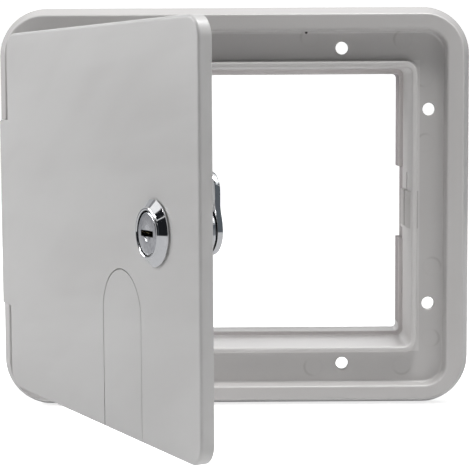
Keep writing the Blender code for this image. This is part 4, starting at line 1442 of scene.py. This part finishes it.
    def toothed_washer(self) -> bpy.types.Object:
        """The toothed washer: a flat ring whose outer points twist out of plane.

        The outer radius follows a square-edged wave of the angle, and each
        tooth's level leans by a small sawtooth of the same angle.

        Returns:
            The washer, still in the lock's own axes.
        """
        teeth, start, end = 18, 0.0026, 0.0034
        angle = np.linspace(0.0, 2 * math.pi, teeth * 10, endpoint=False)
        share = (angle * teeth / (2 * math.pi)) % 1.0
        wave = np.clip((np.abs(share - 0.5) - 0.2) / 0.08, 0.0, 1.0)
        lean = (share - 0.5) * 0.0003 * (1 - wave)
        radius = np.array([0.0082, 0.0096, 0.0106])
        outer = np.stack((np.full_like(angle, radius[0]), np.full_like(angle, radius[1]),
                          radius[2] - 0.0009 * wave))
        rows = np.concatenate((outer, outer[::-1]))
        tilt = np.stack((0 * lean, 0 * lean, lean))
        level = np.concatenate((start + 0.0001 + tilt, (end - 0.0001 + tilt)[::-1]))
        grid = np.stack((rows * np.cos(angle), level, rows * np.sin(angle)), axis=2)
        return solid("lock_washer_zinc", grid_surface(grid, ring=True))

    def plate(self, name: str, outline: np.ndarray, start: float, end: float, hole: Surface,
              edge: float) -> bpy.types.Object:
        """A stamped plate with a hole and softened edges.

        Args:
            name: the piece's name.
            outline: its outline in X and Z.
            start: front level.
            end: rear level.
            hole: what is cut out of it.
            edge: width of the softened edge.

        Returns:
            The piece.
        """
        item = solid(name, prism(outline, Along.Y, start, end))
        shape(item, hole, Join.CUT)
        soften(item, edge, 2, 40.0)
        return item

    def cam_outline(self) -> np.ndarray:
        """The cam's outline: a round hub that flares out of an arm ending in half a circle.

        Between the arm's foot and the hub the half width follows a smooth step
        of the height, so that the sides run on without a corner.

        Returns:
            Two columns, X and Z.
        """
        hub, half, reach, foot = 0.0077, 0.0060, 0.0185, 0.0085
        turn = math.radians(12.0)
        lower = disc_outline(hub, 64, (0.0, 0.0), math.pi - turn, math.pi + 2 * turn)
        share = np.linspace(0.0, 1.0, 16)[1:]
        start = hub * math.sin(turn)
        width = hub * math.cos(turn) + (half - hub * math.cos(turn)) * share ** 2 * (3 - 2 * share)
        right = np.stack((width, start + (foot - start) * share), axis=1)
        end = disc_outline(half, 64, (0.0, reach - half), 0.0, math.pi)
        return np.concatenate((lower, right, end, (right * (-1, 1))[::-1]))

    def screw(self) -> bpy.types.Object:
        """The cam screw: a domed, slotted head and a threaded shank.

        The shank's radius falls by the thread's depth times a triangle wave of
        level over pitch plus the turned share, and the dome is a quarter
        ellipse of radius over level.

        Returns:
            The screw, still in the lock's own axes.
        """
        head, end, rim, rows_of_thread = 0.0207, 0.0219, 0.0004, 40
        shank, wide, pitch, thread = 0.0017, 0.0034, 0.0007, 0.0003
        rise = np.linspace(0.0, 1.0, 8)[1:-1] * math.pi / 2
        radius = np.concatenate(([shank] * rows_of_thread, [shank, wide, wide], wide * np.cos(rise),
                                 [0.0003]))
        level = np.concatenate((np.linspace(head - 0.0056, head - 0.0002, rows_of_thread),
                                [head, head, head + rim],
                                head + rim + (end - head - rim) * np.sin(rise), [end]))
        angle = np.linspace(0.0, 2 * math.pi, 48, endpoint=False)
        phase = level[:, None] / pitch + angle / (2 * math.pi)
        depth = np.where(np.arange(len(level)) < rows_of_thread, thread, 0.0)[:, None]
        rows = radius[:, None] - depth * np.abs((phase % 1.0) * 2 - 1)
        grid = np.stack((rows * np.cos(angle), level[:, None] + 0 * rows, rows * np.sin(angle)), axis=2)
        item = solid("cam_screw_zinc", grid_surface(grid, ring=False))
        shape(item, block((-0.004, end - 0.0007, -0.00045), (0.004, end + 0.001, 0.00045)), Join.CUT)
        return item

    def build(self) -> None:
        """Make every piece of the lock and dress it."""
        axis = (-math.sin(self.place.turn_z), math.cos(self.place.turn_z), 0.0)
        # Painted shade in the gap round the plug, on both the bezel and the plug.
        bezel = replace(CHROME, name="chrome_bezel", gap=GapShadeRing(self.place.origin, axis, 0.00682, 0.00018))
        satin = replace(bezel, name="satin_plug", light=(0.74, 0.75, 0.77, 1.0), dark=(0.46, 0.47, 0.50, 1.0),
                        gloss=0.15, worn=0.34)
        chrome, zinc, brass = CHROME.material(), ZINC.material(), BRASS.material()
        side, tab, tab_end = 0.0031, 0.0015, -0.0077
        square = block((-side, 0.014, -side), (side, 0.021, side))
        stop = np.concatenate((disc_outline(0.006, 60, (0, 0), math.radians(-75.5), math.radians(331)),
                               np.array([(-tab, tab_end), (tab, tab_end)])))
        round_hole = rod(0.002, 0.0015, 40, Along.Y, middle=0.0205)
        pieces = [
            (self.housing(), bezel.material(), "door_body", "lock_housing", "chrome"),
            (self.nut(), zinc, "door_body", "lock_nut", "zinc"),
            (self.toothed_washer(), zinc, "door_body", "lock_washer", "zinc"),
            (self.plug(), satin.material(), "lock_body", "lock_plug", "chrome"),
            (self.plate("stop_plate_zinc", stop, 0.0161, 0.0173, square, 0.00012), zinc, "lock_body",
             "stop_plate", "zinc"),
            (self.plate("lock_cam_chrome", self.cam_outline(), 0.0176, 0.0196, square, 0.0003), chrome,
             "lock_body", "lock_cam", "chrome"),
            (self.plate("cam_washer_zinc", disc_outline(0.0039, 60), 0.0199, 0.0204, round_hole, 0.00008),
             zinc, "lock_body", "cam_washer", "zinc"),
            (self.screw(), zinc, "lock_body", "cam_screw", "zinc"),
        ]
        for item, material, body, node, slot in pieces:
            fit_piece(item, material, self.place, body, [node], slot)
        for number in range(1, self.wafers + 1):
            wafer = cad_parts["wafer_%d" % number]
            wafer.data.materials.clear()
            wafer.data.materials.append(brass)


FRONT_TONE: Colour = (0.012, 0.013, 0.015, 1.0)
BACK_TONE: Colour = (0.24, 0.24, 0.25, 1.0)
SIDE_TONE: Colour = (0.10, 0.112, 0.125, 1.0)
PALE_TONE: Colour = (0.95, 0.95, 0.95, 1.0)
FILL_TONE: Colour = (0.07, 0.07, 0.07, 1.0)
FLOOR_TONE: Colour = (0.55, 0.55, 0.56, 1.0)
WHITE: Colour = (1.0, 1.0, 1.0, 1.0)


@dataclass(frozen=True)
class Lamp:
    """A square soft lamp: its name, place, side and power."""

    name: str
    place: Point
    size: float
    power: float


@dataclass
class Studio:
    """Pale floor and backdrop, soft lights and the camera of the photograph."""

    focal_pixels: float = 1554.8
    sensor: float = 36.0
    camera: Point = (-0.00123, -0.5975, 0.10465)
    yaw: float = -0.093
    pitch: float = 5.051
    roll: float = -0.324
    target: Point = (0.0, -0.03, 0.06)
    lamps: tuple[Lamp, ...] = (
        Lamp("right_lamp", (0.6, -0.3, 0.8), 0.5, 0.7), Lamp("top_lamp", (0.1, -0.25, 0.95), 0.25, 5.1),
        Lamp("top_right_lamp", (0.35, -0.1, 0.95), 0.3, 3.8), Lamp("back_lamp", (0.0, 0.9, 0.35), 0.6, 0.94),
        Lamp("back_left_lamp", (-0.7, 0.7, 0.35), 0.5, 0.15), Lamp("left_lamp", (-0.9, 0.2, 0.4), 0.4, 5.2))

    def add_camera(self) -> None:
        """Set the camera from the measured angles: yaw about Z, then pitch, then roll."""
        y, p, r = (math.radians(a) for a in (self.yaw, self.pitch, self.roll))
        base = np.array([[1, 0, 0], [0, 0, -1], [0, 1, 0]], float)
        turn = np.array([[math.cos(y), math.sin(y), 0], [-math.sin(y), math.cos(y), 0], [0, 0, 1]])
        tilt = np.array([[1, 0, 0], [0, math.cos(p), -math.sin(p)], [0, math.sin(p), math.cos(p)]])
        spin = np.array([[math.cos(r), -math.sin(r), 0], [math.sin(r), math.cos(r), 0], [0, 0, 1]])
        axes = spin @ tilt @ base @ turn
        matrix = Matrix.Identity(4)
        for row in range(3):
            matrix[row][0], matrix[row][1], matrix[row][2] = axes[0, row], -axes[1, row], -axes[2, row]
            matrix[row][3] = self.camera[row]
        data = bpy.data.cameras.new("camera")
        data.sensor_fit = "HORIZONTAL"
        data.sensor_width = self.sensor
        data.lens = self.focal_pixels / PHOTO_SIDE * self.sensor
        data.clip_start = 0.01
        item = bpy.data.objects.new("camera", data)
        item.matrix_world = matrix
        bpy.context.scene.collection.objects.link(item)
        bpy.context.scene.camera = item

    def add_lamp(self, lamp: Lamp) -> None:
        """Hang a lamp that points at the hatch.

        Args:
            lamp: its name, place, side and power.
        """
        data = bpy.data.lights.new(lamp.name, "AREA")
        data.size = lamp.size
        data.energy = lamp.power
        item = bpy.data.objects.new(lamp.name, data)
        way = Vector(self.target) - Vector(lamp.place)
        item.location = lamp.place
        item.rotation_euler = way.to_track_quat("-Z", "Y").to_euler()
        bpy.context.scene.collection.objects.link(item)

    @staticmethod
    def add_world() -> None:
        """A little even light, white to the camera, with a dark front for bright metal to show.

        For reflections the room is pale but for a band from a little below
        the level up to a height that falls towards the back, which is what
        lean measures. The band is near black in front and at the left, grey
        at the back and dark grey at the right, and one thin bright line runs
        across it.
        """
        world = bpy.data.worlds.new("studio")
        bpy.context.scene.world = world
        world.use_nodes = True
        nodes = Nodes(world.node_tree)
        background = world.node_tree.nodes["Background"]
        way = nodes.add("SeparateXYZ", {0: nodes.add("TexCoord").outputs["Generated"]})
        side, back, up = way.outputs["X"], way.outputs["Y"], way.outputs["Z"]
        tilt, line, turn_edge = 0.5, 0.3, (0.2, 0.5)
        top_edge, line_edge, foot_edge = (0.585, 0.615), (0.008, 0.024), (-0.105, -0.075)
        lean = nodes.maths("ADD", up, nodes.maths("MULTIPLY", back, tilt))
        line_off = nodes.maths("ABSOLUTE", nodes.maths("SUBTRACT", lean, line))
        below, beside = nodes.ramp(lean, *top_edge, 1.0, 0.0), nodes.ramp(line_off, *line_edge)
        band = nodes.maths("MULTIPLY", nodes.maths("MULTIPLY", below, beside), nodes.ramp(up, *foot_edge))
        tone = nodes.mix(nodes.ramp(back, *turn_edge), FRONT_TONE, BACK_TONE)
        tone = nodes.mix(nodes.ramp(side, *turn_edge), tone, SIDE_TONE)
        shown = nodes.mix(band, PALE_TONE, tone)
        path = nodes.add("LightPath")
        colour = nodes.mix(path.outputs["Is Glossy Ray"], FILL_TONE, shown)
        colour = nodes.mix(path.outputs["Is Camera Ray"], colour, WHITE)
        nodes.tree.links.new(colour, background.inputs["Color"])

    @staticmethod
    def add_floor() -> None:
        """A pale floor under the hatch that curves up into a backdrop, white to the camera.

        The sheet's height is nothing up to the bend and then follows a quarter
        circle and a straight rise. In reflections it is pale near the hatch
        and takes the world's band of tones further away.
        """
        front, bend, radius, level = -1.6, 0.9, 0.5, -0.0132
        turn = np.linspace(0.1, 1.0, 12) * math.pi / 2
        run = np.concatenate((np.linspace(front, bend, 12), bend + radius * np.sin(turn),
                              np.full(4, bend + radius)))
        rise = np.concatenate((np.zeros(12), radius * (1 - np.cos(turn)), np.linspace(0.7, 1.8, 4)))
        across = np.linspace(-2.2, 2.2, 9)
        size = (len(run), len(across))
        grid = np.stack((np.broadcast_to(across, size), np.broadcast_to(run[:, None], size),
                         np.broadcast_to(rise[:, None] + level, size)), axis=2)
        index = np.arange(grid[:, :, 0].size).reshape(size)
        quads = np.stack((index[:-1, :-1], index[:-1, 1:], index[1:, 1:], index[1:, :-1]), axis=2)
        mesh = bpy.data.meshes.new("floor")
        mesh.from_pydata(grid.reshape(-1, 3).tolist(), [], quads.reshape(-1, 4).tolist())
        mesh.shade_smooth()
        item = bpy.data.objects.new("floor", mesh)
        bpy.context.scene.collection.objects.link(item)
        material, nodes, shader, place = start_material("pale_floor")
        tone = use_group(nodes, "cloud_tone", {"Vector": place, "Light": (0.86, 0.86, 0.86, 1.0),
                                               "Dark": (0.83, 0.83, 0.83, 1.0), "Cloud Scale": 1.5})
        nodes.tree.links.new(tone.outputs["Color"], shader.inputs["Base Color"])
        shader.inputs["Roughness"].default_value = 0.8
        path = nodes.add("LightPath")
        own_light = nodes.maths("MULTIPLY", path.outputs["Is Camera Ray"], 0.74)
        glow = nodes.add("Emission", {"Color": WHITE, "Strength": own_light})
        total = nodes.add("AddShader", {0: shader.outputs[0], 1: glow.outputs[0]})
        far = nodes.length(place)
        where = nodes.add("SeparateXYZ", {0: place})
        turn_edge, far_edge = (0.1, 0.35), (0.74, 1.02)
        distant = nodes.mix(nodes.ramp(where.outputs["Y"], *turn_edge), FRONT_TONE, BACK_TONE)
        distant = nodes.mix(nodes.ramp(where.outputs["X"], *turn_edge), distant, SIDE_TONE)
        seen = nodes.mix(nodes.ramp(far, *far_edge), FLOOR_TONE, distant)
        mirrored = nodes.add("Emission", {"Color": seen})
        surface = nodes.add("MixShader", {0: path.outputs["Is Glossy Ray"], 1: total.outputs[0],
                                          2: mirrored.outputs[0]})
        output = nodes.tree.nodes["Material Output"]
        nodes.tree.links.new(surface.outputs[0], output.inputs["Surface"])
        mesh.materials.append(material)

    def build(self) -> None:
        """Set up the whole studio."""
        self.add_camera()
        self.add_world()
        self.add_floor()
        for lamp in self.lamps:
            self.add_lamp(lamp)
        scene = bpy.context.scene
        scene.view_settings.view_transform = "Standard"


def main() -> None:
    """Build the hatch piece by piece, then the studio."""
    logging.basicConfig(level=logging.INFO, format="%(name)s: %(message)s")
    FrameMoulding().build()
    HatchDoor().build()
    CordFlap().build()
    Pins().build()
    CamLock().build()
    Studio().build()


if __name__ == "__main__":
    main()
